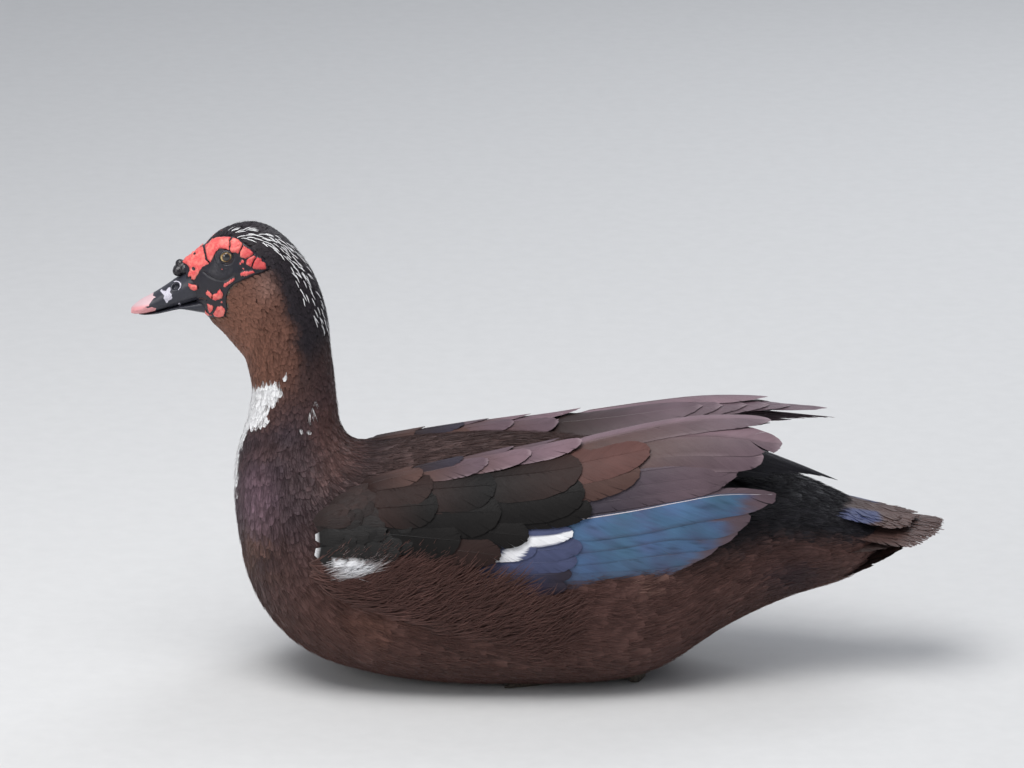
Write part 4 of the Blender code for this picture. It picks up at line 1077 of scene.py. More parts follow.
wingFeathers = {  # from the lowest layer to the top one; paths are x in mm and the share from top to bottom
    "primaries": (
        {"path": ((30, 0.60), (130, 0.46), (188, 0.50)), "width": (6, 8), "lift": (-11, -9.5, -8.0)},
        {"path": ((30, 0.54), (140, 0.38), (205, 0.44)), "width": (6, 7), "lift": (-11, -9.1, -7.2)},
        {"path": ((26, 0.48), (140, 0.31), (216, 0.38)), "width": (5, 7), "lift": (-11, -8.7, -6.4)},
        {"path": ((22, 0.42), (140, 0.25), (226, 0.34)), "width": (5, 7), "lift": (-11, -8.3, -5.6)},
        {"path": ((18, 0.36), (140, 0.20), (234, 0.31)), "width": (5, 6), "lift": (-11, -7.9, -4.8)},
        {"path": ((14, 0.30), (140, 0.16), (240, 0.29)), "width": (4, 6), "lift": (-11, -7.5, -4.2)},
    ),
    "secondaries": (
        {"path": ((-34, 0.93), (30, 0.965), (94, 1.03)), "width": (9, 8), "lift": (-9, -7.2, -7.0),
         "blue": 0.0},
        {"path": ((-34, 0.90), (40, 0.935), (112, 1.01)), "width": (10, 9), "lift": (-9, -6.6, -6.4),
         "blue": 0.25},
        {"path": ((-30, 0.86), (45, 0.90), (128, 0.995)), "width": (11, 10), "lift": (-9, -5.9, -5.6),
         "blue": 0.7},
        {"path": ((-28, 0.82), (50, 0.86), (143, 0.985)), "width": (12, 11), "lift": (-9, -5.1, -4.8),
         "blue": 0.9},
        {"path": ((-26, 0.77), (55, 0.80), (110, 0.85), (158, 0.975)), "width": (13, 13),
         "lift": (-9, -4.2, -3.8), "blue": 1.0},
        {"path": ((-26, 0.70), (55, 0.72), (110, 0.76), (168, 0.94)), "width": (13, 15),
         "lift": (-9, -3.2, -2.6), "blue": 1.0},
        {"path": ((-24, 0.61), (38, 0.624), (83, 0.643), (115, 0.659), (147, 0.70), (172, 0.80),
         (188, 0.91)), "width": (6, 19),
         "lift": (-9, -2.0, -1.2), "blue": 1.0, "splits": ((1, 0.88, 5.0), (-1, 0.80, 2.0)),
         "shaftTint": (0.62, 0.56, 0.58)},
    ),
    "inner": (
        {"path": ((-10, 0.53), (80, 0.57), (150, 0.62)), "width": (12, 8), "lift": (-7, -0.6, 0.0),
         "lean": 1.2},
        {"path": ((-14, 0.47), (75, 0.50), (158, 0.57)), "width": (13, 11), "lift": (-7, 0.0, 0.7),
         "lean": 1.2},
        {"path": ((-14, 0.40), (75, 0.42), (160, 0.50)), "width": (14, 13), "lift": (-7, 0.6, 1.4),
         "lean": 1.0},
    ),
    "tertials": (
        {"path": ((10, 0.28), (100, 0.325), (150, 0.43), (178, 0.52)), "width": (17, 15),
         "lift": (-6, 1.4, 2.2)},
        {"path": ((20, 0.19), (100, 0.215), (150, 0.29), (193, 0.42)), "width": (18, 17),
         "lift": (-6, 2.2, 3.4),
         "splits": ((1, 0.84, 9.0),), "pointed": True},
        {"path": ((-10, 0.08), (70, 0.085), (130, 0.075), (185, 0.07)), "width": (20, 15),
         "lift": (-6, 3.2, 4.8), "pointed": True},
    ),
    "overTail": (  # the far wing's inner side, which lies over the back
        {"path": ((10, 0.10), (130, -0.02), (233, -0.06)), "width": (12, 12), "lift": (-5, 0.4, 0.8)},
        {"path": ((10, 0.04), (110, -0.06), (203, -0.08)), "width": (16, 14), "lift": (-5, 1.2, 1.6)},
        {"path": ((0, -0.02), (100, -0.10), (186, -0.12)), "width": (17, 16), "lift": (-5, 1.9, 2.5)},
        {"path": ((-6, -0.04), (90, -0.13), (168, -0.14)), "width": (17, 17), "lift": (-5, 2.5, 3.2)},
        {"path": ((-12, -0.06), (70, -0.14), (148, -0.15)), "width": (18, 18), "lift": (-5, 3.1, 3.9)},
        {"path": ((-20, -0.08), (60, -0.14), (132, -0.15)), "width": (18, 18), "lift": (-5, 3.7, 4.6)},
    ),
}


def wingSurface(side, droop=None):
    def point(x, v, lift):
        return wingPoint(x, v, lift, side, droop)
    return (point, 0.001, 0.01)


def wingUnwrap(x, v):
    return np.stack([0.1 + 0.8 * np.clip(v, -0.1, 1.1), 0.1 + 0.8 * (x / mm + 190) / 440], -1)


coverts = (  # from the lowest layer to the top one, with the colours of the root and tip
    {"path": ((-52, 0.93), (22, 0.965)), "width": (9, 9), "lift": (-8, -5.6, -5.0),
     "paint": ("violet", "mauveDark")},
    {"path": ((-50, 0.87), (26, 0.90)), "width": (10, 9), "lift": (-8, -5.0, -4.4),
     "paint": ("slate", "mauveDark")},
    {"path": ((-46, 0.81), (30, 0.835)), "width": (11, 10), "lift": (-8, -4.2, -3.6),
     "paint": ("slate", "slate")},
    {"path": ((-46, 0.75), (34, 0.765)), "width": (11, 10), "lift": (-8, -3.2, -2.4),
     "paint": ("slate", "slate")},
    {"path": ((-70, 0.735), (-2, 0.75)), "width": (10, 10), "lift": (-7, -2.6, -1.8),
     "paint": ("slate", "slate"), "white": True},
    {"path": ((-64, 0.66), (27, 0.685)), "width": (9, 10), "lift": (-7, -1.8, -0.9),
     "paint": ("slate", "slate"), "white": True},
    {"path": ((-40, 0.26), (88, 0.29)), "width": (17, 18), "lift": (-5, 2.2, 4.0),
     "paint": ("brown", "rust")},
    {"path": ((-50, 0.38), (80, 0.42)), "width": (18, 17), "lift": (-5, 1.2, 2.6),
     "paint": ("umber", "brown")},
    {"path": ((-66, 0.52), (42, 0.585)), "width": (20, 12), "lift": (-5, 0.2, 1.4),
     "paint": ("oliveDark", "olive")},
    {"path": ((-74, 0.42), (36, 0.47)), "width": (22, 21), "lift": (-5, 1.4, 2.8),
     "paint": ("oliveDark", "olive")},
    {"path": ((-84, 0.26), (34, 0.31)), "width": (23, 22), "lift": (-4, 2.4, 4.2),
     "paint": ("olive", "umber")},
    {"path": ((-100, 0.60), (-24, 0.66), (-8, 0.68)), "width": (17, 13), "lift": (-4, 0.4, 1.4),
     "paint": ("oliveDark", "olive")},
    {"path": ((-112, 0.68), (-30, 0.775)), "width": (14, 12), "lift": (-4, 0.2, 1.6),
     "paint": ("umber", "umber")},
    {"path": ((-120, 0.46), (-30, 0.53)), "width": (20, 20), "lift": (-4, 1.6, 2.8),
     "paint": ("oliveDark", "olive")},
    {"path": ((-124, 0.28), (-34, 0.35)), "width": (20, 20), "lift": (-4, 2.4, 3.8),
     "paint": ("umber", "oliveDark")},
    {"path": ((-134, 0.60), (-62, 0.68)), "width": (17, 16), "lift": (-4, 1.0, 2.2),
     "paint": ("oliveDark", "olive")},
    {"path": ((-140, 0.40), (-80, 0.44)), "width": (17, 17), "lift": (-4, 2.0, 3.4),
     "paint": ("umber", "olive")},
    {"path": ((-144, 0.22), (-84, 0.27)), "width": (16, 17), "lift": (-4, 2.4, 4.2),
     "paint": ("umber", "umber")},
    {"path": ((-148, 0.76), (-92, 0.84)), "width": (14, 13), "lift": (-5, -3.0, -2.4),
     "paint": ("umber", "umber")},
)
# the upper scapulars' mauve tips are brown with painted sky sheen in it
scapulars = (
    {"path": ((-146, 0.10), (-92, 0.12)), "width": (12, 12), "lift": (-4, 2.8, 5.0),
     "paint": ("umber", "brown")},
    {"path": ((-150, -0.04), (-100, -0.06)), "width": (12, 12), "lift": (-4, 2.6, 4.8),
     "paint": ("umber", "brown")},
    {"path": ((-128, 0.02), (-60, 0.0)), "width": (12, 12), "lift": (-4, 3.2, 5.6),
     "paint": ("umber", "mauveDark")},
    {"path": ((-122, -0.12), (-56, -0.16)), "width": (12, 12), "lift": (-4, 2.8, 5.2),
     "paint": ("umber", "brown")},
    {"path": ((-112, 0.12), (-40, 0.13)), "width": (12, 12), "lift": (-4, 3.4, 5.6),
     "paint": ("brown", "mauveMid"), "rim": 0.35},
    {"path": ((-96, -0.04), (-20, -0.08)), "width": (13, 13), "lift": (-4, 3.2, 5.8),
     "paint": ("brown", "mauveMid"), "rim": 0.3},
    {"path": ((-88, 0.10), (-6, 0.11)), "width": (13, 13), "lift": (-4, 3.6, 6.0),
     "paint": ("brown", "mauve"), "rim": 0.45},
    {"path": ((-70, -0.08), (16, -0.13)), "width": (14, 14), "lift": (-4, 3.2, 5.6),
     "paint": ("brown", "mauveMid"), "rim": 0.3},
    {"path": ((-58, 0.07), (34, 0.08)), "width": (13, 14), "lift": (-4, 3.8, 6.0),
     "paint": ("mauveMid", "mauve"), "rim": 0.5},
)
lesserForm = {
    "rows": 7, "cols": 5, "length": 26, "width": 8.0, "shape": roundShape, "scatter": 0.16,
    "unevenness": 0.8,
    "camber": 1.0, "rag": 1.0, "thick": 0.35, "lift": (-4.0, 0.6, 1.9),
}
overlapForm = {  # loose flank barbs that lie over the wing's lower edge
    "length": 27, "width": 0.6, "scatter": 0.12, "unevenness": 1.2, "spread": 0.24, "barbs": 6,
    "lift": (-4.5, 2.2), "steps": 3,
    "rows": (0.0, 4.0, 8.0, 12.0, 17.0, 22.0, 28.0, 34.0), "apart": 4.2,
    "edge": ((-176, 0.98), (-150, 0.84), (-127, 0.73), (-100, 0.72), (-70, 0.735), (-53, 0.80),
        (-14, 0.83), (-1, 0.87), (11, 0.94),
             (28, 0.995), (50, 1.04)),
}


def makeWing(word, side):
    # every long feather of a wing in its layer, each with a strip of its own on the bake map
    material = flightMaterial("flightFeathers" + word.capitalize())
    surface = wingSurface(side)
    drooping = wingSurface(side, droops[word])
    far = word == "right"
    paints = {
        "primaries": painter("brown", "mauveMid", rim=0.5) if far else painter("black", "black", gloss=0.9),
        "inner": painter("mauveDark", "mauveMid"),
        # the tertials' upper vanes and tips are mauve: brown with painted sky sheen on their upward side
        "tertials": painter("brown", "mauveMid", upper="mauve", rim=0.3),
        "overTail": painter("umber", "mauveMid", rim=0.3),
    }
    flights, strip = [], 0
    rows = [name for name in wingFeathers if far or name != "overTail"]
    total = sum(len(wingFeathers[name]) for name in rows)
    for name in rows:
        for own in wingFeathers[name]:
            shape = pointedShape if name in ("primaries",
                "overTail") else bluntShape if own.get("pointed") else flightShape
            spec = {"shape": shape, **own}
            paint = painter("mauveDark", "mauveMid", blue=own["blue"]) if "blue" in own else paints[name]
            flights += longFeather(drooping if name == "primaries" else surface, spec, paint, side,
                (strip, total))
            strip += 1
    asPiece("flights" + word.capitalize(), flights, material, ("wing_" + word,))
    small, strip = [], 0
    sets = coverts + scapulars
    for own in sets:
        spec = {"shape": covertShape, "groups": 18, "camber": 1.0, "lean": 0.5, **own}
        paint = painter(*own["paint"], rim=own.get("rim", 0.0),
            whiteIn=covertWhite if own.get("white") else None)
        small += longFeather(surface, spec, paint, side, (strip, len(sets)))
        strip += 1
    matt = flightMaterial("smallCoverts" + word.capitalize(), 0.13)
    asPiece("coverts" + word.capitalize(), small, matt)
    makeLesser(word, side, surface)
    makeOverlap(word, side, surface)


def bendMarked(tint, points):
    # white inside each outline of bendWhite, with a soft edge broken by noise
    x, up = sideView(points)
    for outline in bendWhite:
        inside = insideBy(x, up, outline) + 0.5 * softNoise(points, 0.004, 29)
        tint = blendTo(tint, quill["white"], ease(inside, -0.3, 0.3))
    return tint


def makeOverlap(word, side, surface):
    # rows of barbs whose tips end along the edge that the flank draws over the wing
    x, v = [], []
    for row, back in enumerate(overlapForm["rows"]):
        place = np.arange(-178, 44, overlapForm["apart"]) + 2.1 * (row % 2)
        x.append(place - back * 0.5)
        v.append(np.interp(place, *zip(*overlapForm["edge"])) + 0.12 + back * 0.010)
    x, v = np.concatenate(x), np.concatenate(v)
    x = (x - 21 + random.uniform(-2, 2, len(x))) * mm
    v = v + random.uniform(-0.02, 0.02, len(v))
    kept = x > -183 * mm
    x, v = x[kept], v[kept]
    part = tufts(surface, x, v, overlapForm, wingUnwrap, -0.55, side > 0)
    base = blendTo(plumage["chocolate"], plumage["maroon"], part["chance"])
    base = base * (0.8 + 0.5 * part["chance"])[:, None]
    part["numbers"]["tint"] = bendMarked(np.repeat(base, part["each"], axis=0), part["points"])
    part["numbers"]["gloss"] = np.zeros(len(part["points"]))
    asPiece("flankOverWing" + word.capitalize(), [part], bpy.data.materials["looseBarbs"],
        (), None)


def makeLesser(word, side, surface):
    # small feathers over the front of the wing, in staggered rows
    x, v = [], []
    for row, place in enumerate(np.arange(-176, -118, 8.5)):
        across = np.arange(0.06, 0.99, 0.105) + 0.05 * (row % 2)
        x.append(np.full(len(across), place))
        v.append(across)
    x, v = np.concatenate(x), np.concatenate(v)
    front = ease(-x, 150, 186)
    v = 0.6 + (v - 0.6) * (1 - 0.45 * front)
    x = (x + random.uniform(-2.5, 2.5, len(x))) * mm
    v = v + random.uniform(-0.02, 0.02, len(v))
    kept = v < np.interp(x / mm + 18, *zip(*overlapForm["edge"])) + 0.03
    x, v = x[kept], v[kept]
    part = feathersOn(surface, x, v, lesserForm, wingUnwrap, side > 0)
    olive = blendTo(quill["umber"], quill["olive"], ease(v, 0.3, 0.6))
    tint = olive * (0.85 + 0.3 * part["chance"])[:, None]
    part["numbers"]["tint"] = bendMarked(np.repeat(tint, part["each"], axis=0), part["points"])
    part["numbers"]["gloss"] = np.full(len(part["points"]), 0.4)
    asPiece("shoulder" + word.capitalize(), [part],
        plumageMaterial("shoulderPlumage" + word, 0.05, 0.5, 0.0012))


tailForm = {
    "height": 124.0, "middle": 300, "slope": -0.07, "curve": 0.0022, "pairs": 9, "root": 236, "tip": 326,
    "shorter": 24,
    "rootApart": 2.8, "tipApart": 4.6, "width": (8.5, 8.5), "step": 0.62,
}
# root and tip x, height over the arch from root to tip, pairs, spread at the root and tip, width
tailCoverts = {
    "upper": {"x": (216, 292), "lift": (24.0, 15.0, 4.0), "pairs": 6, "apart": (4.2, 4.4), "width": 8.0,
        "paint": ("umber", "brown")},
    "upperRear": {"x": (240, 304), "lift": (9.0, 8.0, 2.8), "pairs": 6, "apart": (3.6, 4.2),
        "width": 8.0, "paint": ("umber", "brown")},
    "under": {"x": (240, 300), "lift": (-40.0, -34.0, -13.0), "pairs": 6, "apart": (4.4, 4.6),
        "width": 9.0, "paint": ("umber", "umber")},
    "underRear": {"x": (252, 309), "lift": (-24.0, -22.0, -9.0), "pairs": 6, "apart": (4.0, 4.6),
        "width": 9.0, "paint": ("umber", "brown")},
    "side": {"x": (238, 302), "lift": (-12.0, -11.0, -4.5), "pairs": 7, "apart": (5.4, 4.8),
        "width": 9.0, "paint": ("umber", "umber")},
}


def tailPoint(x, y, lift):
    # an arch whose middle is highest and which falls to the rear
    x, y, lift = np.broadcast_arrays(np.asarray(x, float), np.asarray(y, float), np.asarray(lift, float))
    z = tailForm["height"] * mm + tailForm["slope"] * (x - tailForm["middle"]
        * mm) - tailForm["curve"] / mm * y**2
    return np.stack([x, y, z + lift], -1)


def makeTail():
    material = flightMaterial("tailFeathers")
    surface = (tailPoint, 0.001, 0.001)
    parts, total = [], 2 * tailForm["pairs"] + 1
    paint = painter("brown", "brown", edge="umber", gloss=0.2)
    for number in sorted(range(-tailForm["pairs"], tailForm["pairs"] + 1), key=abs, reverse=True):
        share = number / tailForm["pairs"]
        level = -tailForm["step"] * abs(number)
        apart = (tailForm["rootApart"] * number * mm, tailForm["tipApart"] * number * mm)
        spec = {
            "path": ((tailForm["root"], apart[0]),
                (tailForm["tip"] - tailForm["shorter"] * share**2, apart[1])),
            "shape": flightShape, "width": tailForm["width"], "lift": (level, level, level), "lean": 1.4,
            "camber": 0.6,
            "ripple": 0.2,
        }
        parts += longFeather(surface, spec, paint, 1, (number + tailForm["pairs"], total))
    asPiece("tailFan", parts, material, ("tail",))
    parts, strip, total = [], 0, sum(2 * own["pairs"] + 1 for own in tailCoverts.values())
    for name, own in tailCoverts.items():
        blue = tailBlue if "upper" in name else None
        paint = painter(*own["paint"], gloss=0.2, whiteIn=blue, mark="inky")
        for number in sorted(range(-own["pairs"], own["pairs"] + 1), key=abs, reverse=True):
            share = number / own["pairs"]
            lift = np.array(own["lift"]) - np.array([3.5, 3.0, 0.5]) * abs(share) ** 2
            root, tip = (own["apart"][end] * number * mm for end in (0, 1))
            spec = {
                "path": ((own["x"][0], root), (own["x"][1] - 12 * share**2 + random.uniform(-3, 3), tip)),
                "shape": covertShape, "width": (own["width"],) * 2, "lift": lift, "lean": 1.6,
                "camber": 1.0, "ripple": 0.3,
                "groups": 14,
            }
            parts += longFeather(surface, spec, paint, 1, (strip, total))
            strip += 1
    asPiece("tailCoverts", parts, material)


billUpper = (  # top x, z, bottom x, z, half width
    (-271.0, 338.0, -262.0, 310.0, 14.5),
    (-277.5, 334.0, -269.6, 308.2, 13.5),
    (-284.0, 328.0, -279.0, 305.3, 12.4),
    (-294.0, 320.5, -291.0, 302.2, 11.6),
    (-305.0, 313.0, -303.0, 299.2, 12.2),
    (-315.0, 307.0, -314.0, 297.0, 12.2),
    (-321.5, 302.5, -321.0, 296.2, 9.6),
    (-325.0, 299.4, -325.0, 296.2, 5.0),
)
billLower = (
    (-262.0, 310.0, -257.0, 295.5, 13.5),
    (-269.4, 308.0, -266.2, 296.2, 12.6),
    (-279.0, 305.0, -278.0, 298.6, 11.4),
    (-286.0, 303.2, -285.0, 300.0, 10.6),
    (-291.0, 302.0, -290.5, 299.2, 10.2),
    (-303.0, 299.0, -303.0, 296.6, 10.6),
    (-313.0, 297.0, -313.0, 295.4, 9.0),
    (-319.0, 296.4, -319.0, 295.2, 5.5),
)


def billShape(rows, count, around, squareBelow):
    # ovals between top and bottom points, squarer on the side of the mouth
    rows = np.array(rows) * mm
    t = np.linspace(0, len(rows) - 1, count)
    value = hermite(np.arange(len(rows)), rows, t)[:, None, :]
    turn = (np.arange(around) * 2 * math.pi / around)[None, :]
    height = np.cos(turn)
    square = np.sign(height) * np.abs(height) ** 0.45
    height = np.where((height < 0) == squareBelow, square, height)
    top, bottom = value[..., 0:2], value[..., 2:4]
    centre, half = (top + bottom) / 2, (top - bottom) / 2
    place = centre + half * height[..., None]
    y = -value[..., 4] * np.sin(turn)
    return np.stack([place[..., 0], np.broadcast_to(y, place[..., 0].shape), place[..., 1]], -1), t


billForm = {
    "rows": 150, "around": 112, "nostril": {"x": -288.9, "z": 319.5, "long": 3.5, "high": 2.3,
        "tilt": 0.62, "depth": 3.0},
    "pink": [(157, 288), (155.2, 292.5), (154.6, 296), (158, 297.7), (155.7, 298.8), (153, 302.7),
        (151.3, 305),
             (151.3, 306.6), (146.9, 307.4), (150.2, 308.6), (154.6, 308), (158.4, 308.8),
             (156.3, 312.5), (152, 318),
             (120, 318), (120, 288)],
    "scuff": [(161.9, 291.3), (163.5, 289.4), (164.6, 291.1), (168, 291.6), (170.2, 288.3),
        (172.4, 287.7), (173, 290.5),
              (171.8, 292.7), (174.1, 295), (173.5, 296.6), (174.9, 298.3), (174.1, 300.5), (170.2, 302.2),
              (169.1, 303.8), (168, 303.8), (168.5, 302.2), (165.7, 299.4), (166.3, 296.1), (164.1, 293.8)],
    "spot": (181.3, 305.0, 1.1),
}


def billMaterial():
    # blue-black horn, with attributes for its pink tip and its pale grey-white marks,
    # one of them a painted highlight on the nostril's rim
    graph = Graph("billHorn")
    place = graph.place()
    rag = graph.noise(place, 500.0, 3.0)
    fine = graph.noise(place, 1500.0, 3.0)
    lines = graph.noise(graph.stretched(place, (120.0, 900.0, 900.0)), 1.0, 2.0)
    horn = graph.mix(rag, (0.016, 0.017, 0.024), (0.040, 0.041, 0.055))
    pale = graph.mix(graph.ramp(fine, 0.3, 0.7), (0.42, 0.41, 0.48), (0.68, 0.66, 0.72))
    paleMarked = graph.mix(graph.ramp(graph.number("scuff") + 0.35 * (rag - 0.5), 0.4, 0.62), horn, pale)
    flesh = graph.mix(graph.number("upper"), (0.68, 0.30, 0.31), (0.62, 0.44, 0.46))
    flesh = graph.mix(graph.ramp(rag, 0.45, 0.8) * 0.4, flesh, (0.62, 0.40, 0.42))
    pink = graph.ramp(graph.number("pink") + 0.25 * (rag - 0.5), 0.42, 0.58)
    colour = graph.mix(pink, paleMarked, flesh)
    rough = 0.26 + 0.22 * fine + 0.12 * pink
    height = 0.5 * fine + 0.5 * lines
    links = {"Base Color": colour, "Roughness": rough, "Normal": graph.bump(height, 0.35, 0.0003)}
    return graph.finish(links, {"Specular IOR Level": 0.5})


def billMarks(rings):
    # how far each point is inside the pink tip and the pale marks, and how high it stands on the bill
    across, up = sideView(rings)
    pink = insideBy(across, up, fromPicture(billForm["pink"]))
    scuff = insideBy(across, up, fromPicture(billForm["scuff"]))
    x, y, size = billForm["spot"]
    spot = size - np.hypot(across - (x - 539) * 0.8, up - (668 - y) * 0.8)
    scuff = np.maximum(scuff, spot)
    high = ease(up - np.interp(across, (-326, -300), (286.5, 290.0)), 0.0, 3.0)
    return {"pink": ease(pink, -0.5, 0.5), "scuff": ease(scuff, -0.5, 0.5), "upper": high}


def makeBill():
    rings, _ = billShape(billUpper, billForm["rows"], billForm["around"], True)
    middle = rings.mean(1, keepdims=True)
    outward = rings - middle
    outward /= np.linalg.norm(outward, axis=-1)[..., None]
    hole = billForm["nostril"]
    dx, dz = rings[..., 0] / mm - hole["x"], rings[..., 2] / mm - hole["z"]
    cosTilt, sinTilt = math.cos(hole["tilt"]), math.sin(hole["tilt"])
    along, high = dx * cosTilt + dz * sinTilt, -dx * sinTilt + dz * cosTilt
    reach = np.sqrt((along / hole["long"]) ** 2 + (high / hole["high"]) ** 2)
    sunk = -hole["depth"] * (1 - ease(reach, 0.62, 1.02)) + 0.55 * np.exp(-((reach - 1.2) / 0.2) ** 2)
    sunk = sunk * (np.abs(rings[..., 1]) > 3 * mm)
    nail = 0.5 * ease(-rings[..., 0] / mm, 312, 316) * ease(rings[..., 2] / mm, 297.5, 300)
    lip = np.interp(rings[..., 0] / mm, (-325, -315, -291, -270), (297.6, 298.6, 304.2, 310.4))
    edge = 0.35 * np.exp(-((rings[..., 2] / mm - lip
        + 1.2) / 0.8) ** 2) - 0.35 * np.exp(-((rings[..., 2] / mm - lip - 1.0) / 0.9) ** 2)
    marks = billMarks(rings)
    # the nostril's rear rim is painted pale: a painted highlight
    rim = ease(reach, 1.05, 1.2) * (1 - ease(reach, 1.3, 1.5)) * (along > 0.2)
    marks["scuff"] = np.maximum(marks["scuff"], rim * (np.abs(rings[..., 1]) > 3 * mm) * 0.9)
    rings = rings + outward * ((sunk + nail + edge) * mm)[..., None]
    material = billMaterial()
    upper = closedTube("billUpper", rings, marks, True)
    settle(upper, material, ("bill_upper",))
    lowerRings, _ = billShape(billLower, 90, 72, False)
    marks = {**billMarks(lowerRings), "pink": np.zeros(lowerRings.shape[:2])}
    lower = closedTube("billLower", lowerRings, marks, True)
    settle(lower, material, ("bill_lower",))


faceForm = {
    "from": -0.5, "to": 4.5, "rows": 215, "around": 400,
    "level": 0.5, "under": -2.8, "edge": 1.2,  # height of the bare skin, and its depth under the feathers
    "eye": (229.8, 258.9), "opening": (4.9, 5.7), "pitSize": 0.95,
    "outline": [(184, 263), (186.5, 259), (192, 254.5), (197, 251), (206, 246), (213, 240.5), (220, 238),
        (228, 237.3), (236, 238),
                (242, 240), (248, 245.5), (254, 249.5), (259, 254), (266, 259.5), (270.5, 264.5),
                (270.8, 270.5), (266, 273),
                (258, 276), (250, 279.5), (243, 282.5), (236.5, 285.5), (231.5, 291), (229, 297),
                (228.5, 303),
                (229.5, 310), (227, 317.5), (215, 318), (205, 316.5), (200, 311), (198, 304),
                (199, 298.5), (193, 295),
                (188, 291), (186.8, 284), (188.5, 277), (187, 270)],
    "lobes": {  # height in mm, and corners on the side view
        "frontLower": (1.5, [(183.9, 264.6), (186.9, 260.2), (192.0, 256.5), (195.7, 253.6),
            (200.8, 250.7), (204.8, 248.8),
                             (205.9, 250.3), (207.0, 254.3), (207.8, 258.4), (208.9, 262.0),
                             (210.0, 262.8), (213.3, 264.8),
                             (210.7, 266.1), (209.6, 266.4), (205.2, 269.0), (203.0, 271.9), (200.8, 275.6),
                             (198.2, 279.3), (197.1, 281.3), (194.2, 280.7), (190.5, 277.8), (190.2, 275.6),
                             (192.0, 271.9), (192.0, 269.7), (189.1, 266.1)]),
        "topFront": (1.9, [(207.3, 249.2), (208.1, 247.7), (211.1, 244.8), (214.0, 241.9),
            (219.9, 239.7), (227.2, 238.9),
                           (233.8, 239.3), (234.4, 239.9), (232.3, 242.8), (232.8, 247.0),
                           (232.3, 252.3), (227.2, 251.0),
                           (222.8, 250.7), (220.6, 252.5), (217.7, 256.5), (215.5, 260.9),
                           (213.4, 264.5), (211.2, 262.3),
                           (209.6, 259.5), (208.5, 254.3)]),
        "topRear": (2.1, [(235.5, 239.9), (237.5, 240.0), (241.9, 241.9), (245.5, 245.5), (245.5, 247.4),
            (242.2, 254.0),
                          (242.1, 255.8), (238.2, 254.3), (234.5, 254.3), (232.9, 252.5), (233.5, 247.0),
                          (233.2, 243.3)]),
        "rearUpper": (1.8, [(246.4, 247.4), (249.2, 249.2), (252.9, 251.4), (255.8, 254.0),
            (256.2, 256.2), (252.9, 258.4),
                            (249.9, 259.9), (247.0, 260.2), (243.3, 258.7), (242.8, 254.3)]),
        "rearMiddle": (1.6, [(257.1, 256.7), (259.3, 258.7), (256.5, 262.4), (255.3, 265.0),
            (254.3, 268.4), (249.2, 266.1),
                             (248.8, 263.9), (250.1, 260.7)]),
        "rear": (1.9, [(260.1, 259.0), (263.9, 260.2), (264.6, 262.4), (268.3, 264.6), (269.0, 268.3),
            (268.6, 270.5),
                       (265.3, 271.1), (258.0, 270.5), (255.1, 269.2), (256.0, 265.3), (257.4, 262.4)]),
        "row": (1.2, [(242.2, 275.6), (244.1, 273.4), (247.7, 271.9), (251.4, 272.7), (255.1, 271.6),
            (257.6, 273.0),
                      (257.3, 274.1), (252.9, 275.6), (248.5, 277.4), (244.1, 276.9)]),
        "cheek": (1.3, [(225.9, 287.3), (226.5, 284.4), (230.9, 282.2), (233.8, 280.0), (237.5, 278.4),
            (238.7, 279.6),
                        (235.3, 282.9), (230.9, 285.3), (228.1, 288.2)]),
        "clusterFront": (2.0, [(208.1, 293.2), (210.0, 290.1), (213.3, 292.8), (214.9, 295.0),
            (214.0, 299.2), (211.1, 296.3),
                               (208.6, 294.8)]),
        "clusterRear": (2.3, [(215.3, 293.9), (218.4, 293.6), (220.6, 291.0), (223.0, 289.4),
            (225.0, 291.7), (226.1, 294.7),
                              (225.0, 297.6), (221.3, 299.2), (217.7, 300.2), (214.6, 299.2)]),
        "billBulb": (2.6, [(190.3, 287.0), (190.9, 283.5), (194.2, 285.0), (198.6, 285.5),
            (200.1, 287.3), (199.8, 290.0),
                           (196.4, 291.4), (192.7, 289.7)]),
        "gapeFront": (1.5, [(208.7, 303.1), (214.0, 304.6), (216.1, 306.4), (214.4, 310.4),
            (211.1, 313.0), (209.6, 308.6)]),
        "gapeRear": (2.0, [(218.6, 306.3), (224.3, 305.3), (227.2, 307.9), (227.7, 310.8),
            (225.9, 315.2), (221.3, 316.4),
                           (216.2, 315.6), (214.9, 313.0), (217.5, 309.3)]),
        "gapeFoot": (1.3, [(205.2, 311.5), (206.7, 308.8), (209.0, 311.9), (211.1, 313.9),
            (213.3, 314.1), (214.0, 315.1),
                           (209.6, 314.9), (206.1, 313.9)]),
    },
    "pits": ((197.1, 256.2, 1.2), (196.4, 270.5, 1.6), (192.7, 278.9, 1.2), (211.5, 263.4, 0.8)),
    "pinkSpots": ((245.5, 263.1, 1.5), (246.3, 269.9, 0.8), (243.3, 265.0, 0.9), (225.0, 270.1, 0.6),
        (231.0, 296.0, 0.8),
                  (224.0, 302.3, 0.9)),
    "fold": [(206.7, 272.7), (211, 276.0), (215.5, 278.5), (220, 280.2), (224.3, 280.9), (230.9, 279.3),
        (236, 276)],
    "lidFolds": (6.7, 7.9, 9.0),
    "mouth": [(184, 304.9), (192, 302.6), (200, 300.2), (205, 299.2), (208.5, 300.6)],
    "spots": 150,
}


def lineDistance(across, up, corners):
    # millimetres to the nearest point of a broken line
    start, end = corners[:-1], corners[1:]
    edge = end - start
    spot = np.stack([across, up], -1)[..., None, :]
    share = np.clip(((spot - start) * edge).sum(-1) / (edge**2).sum(-1), 0, 1)
    return np.linalg.norm(spot - start - share[..., None] * edge, axis=-1).min(-1)


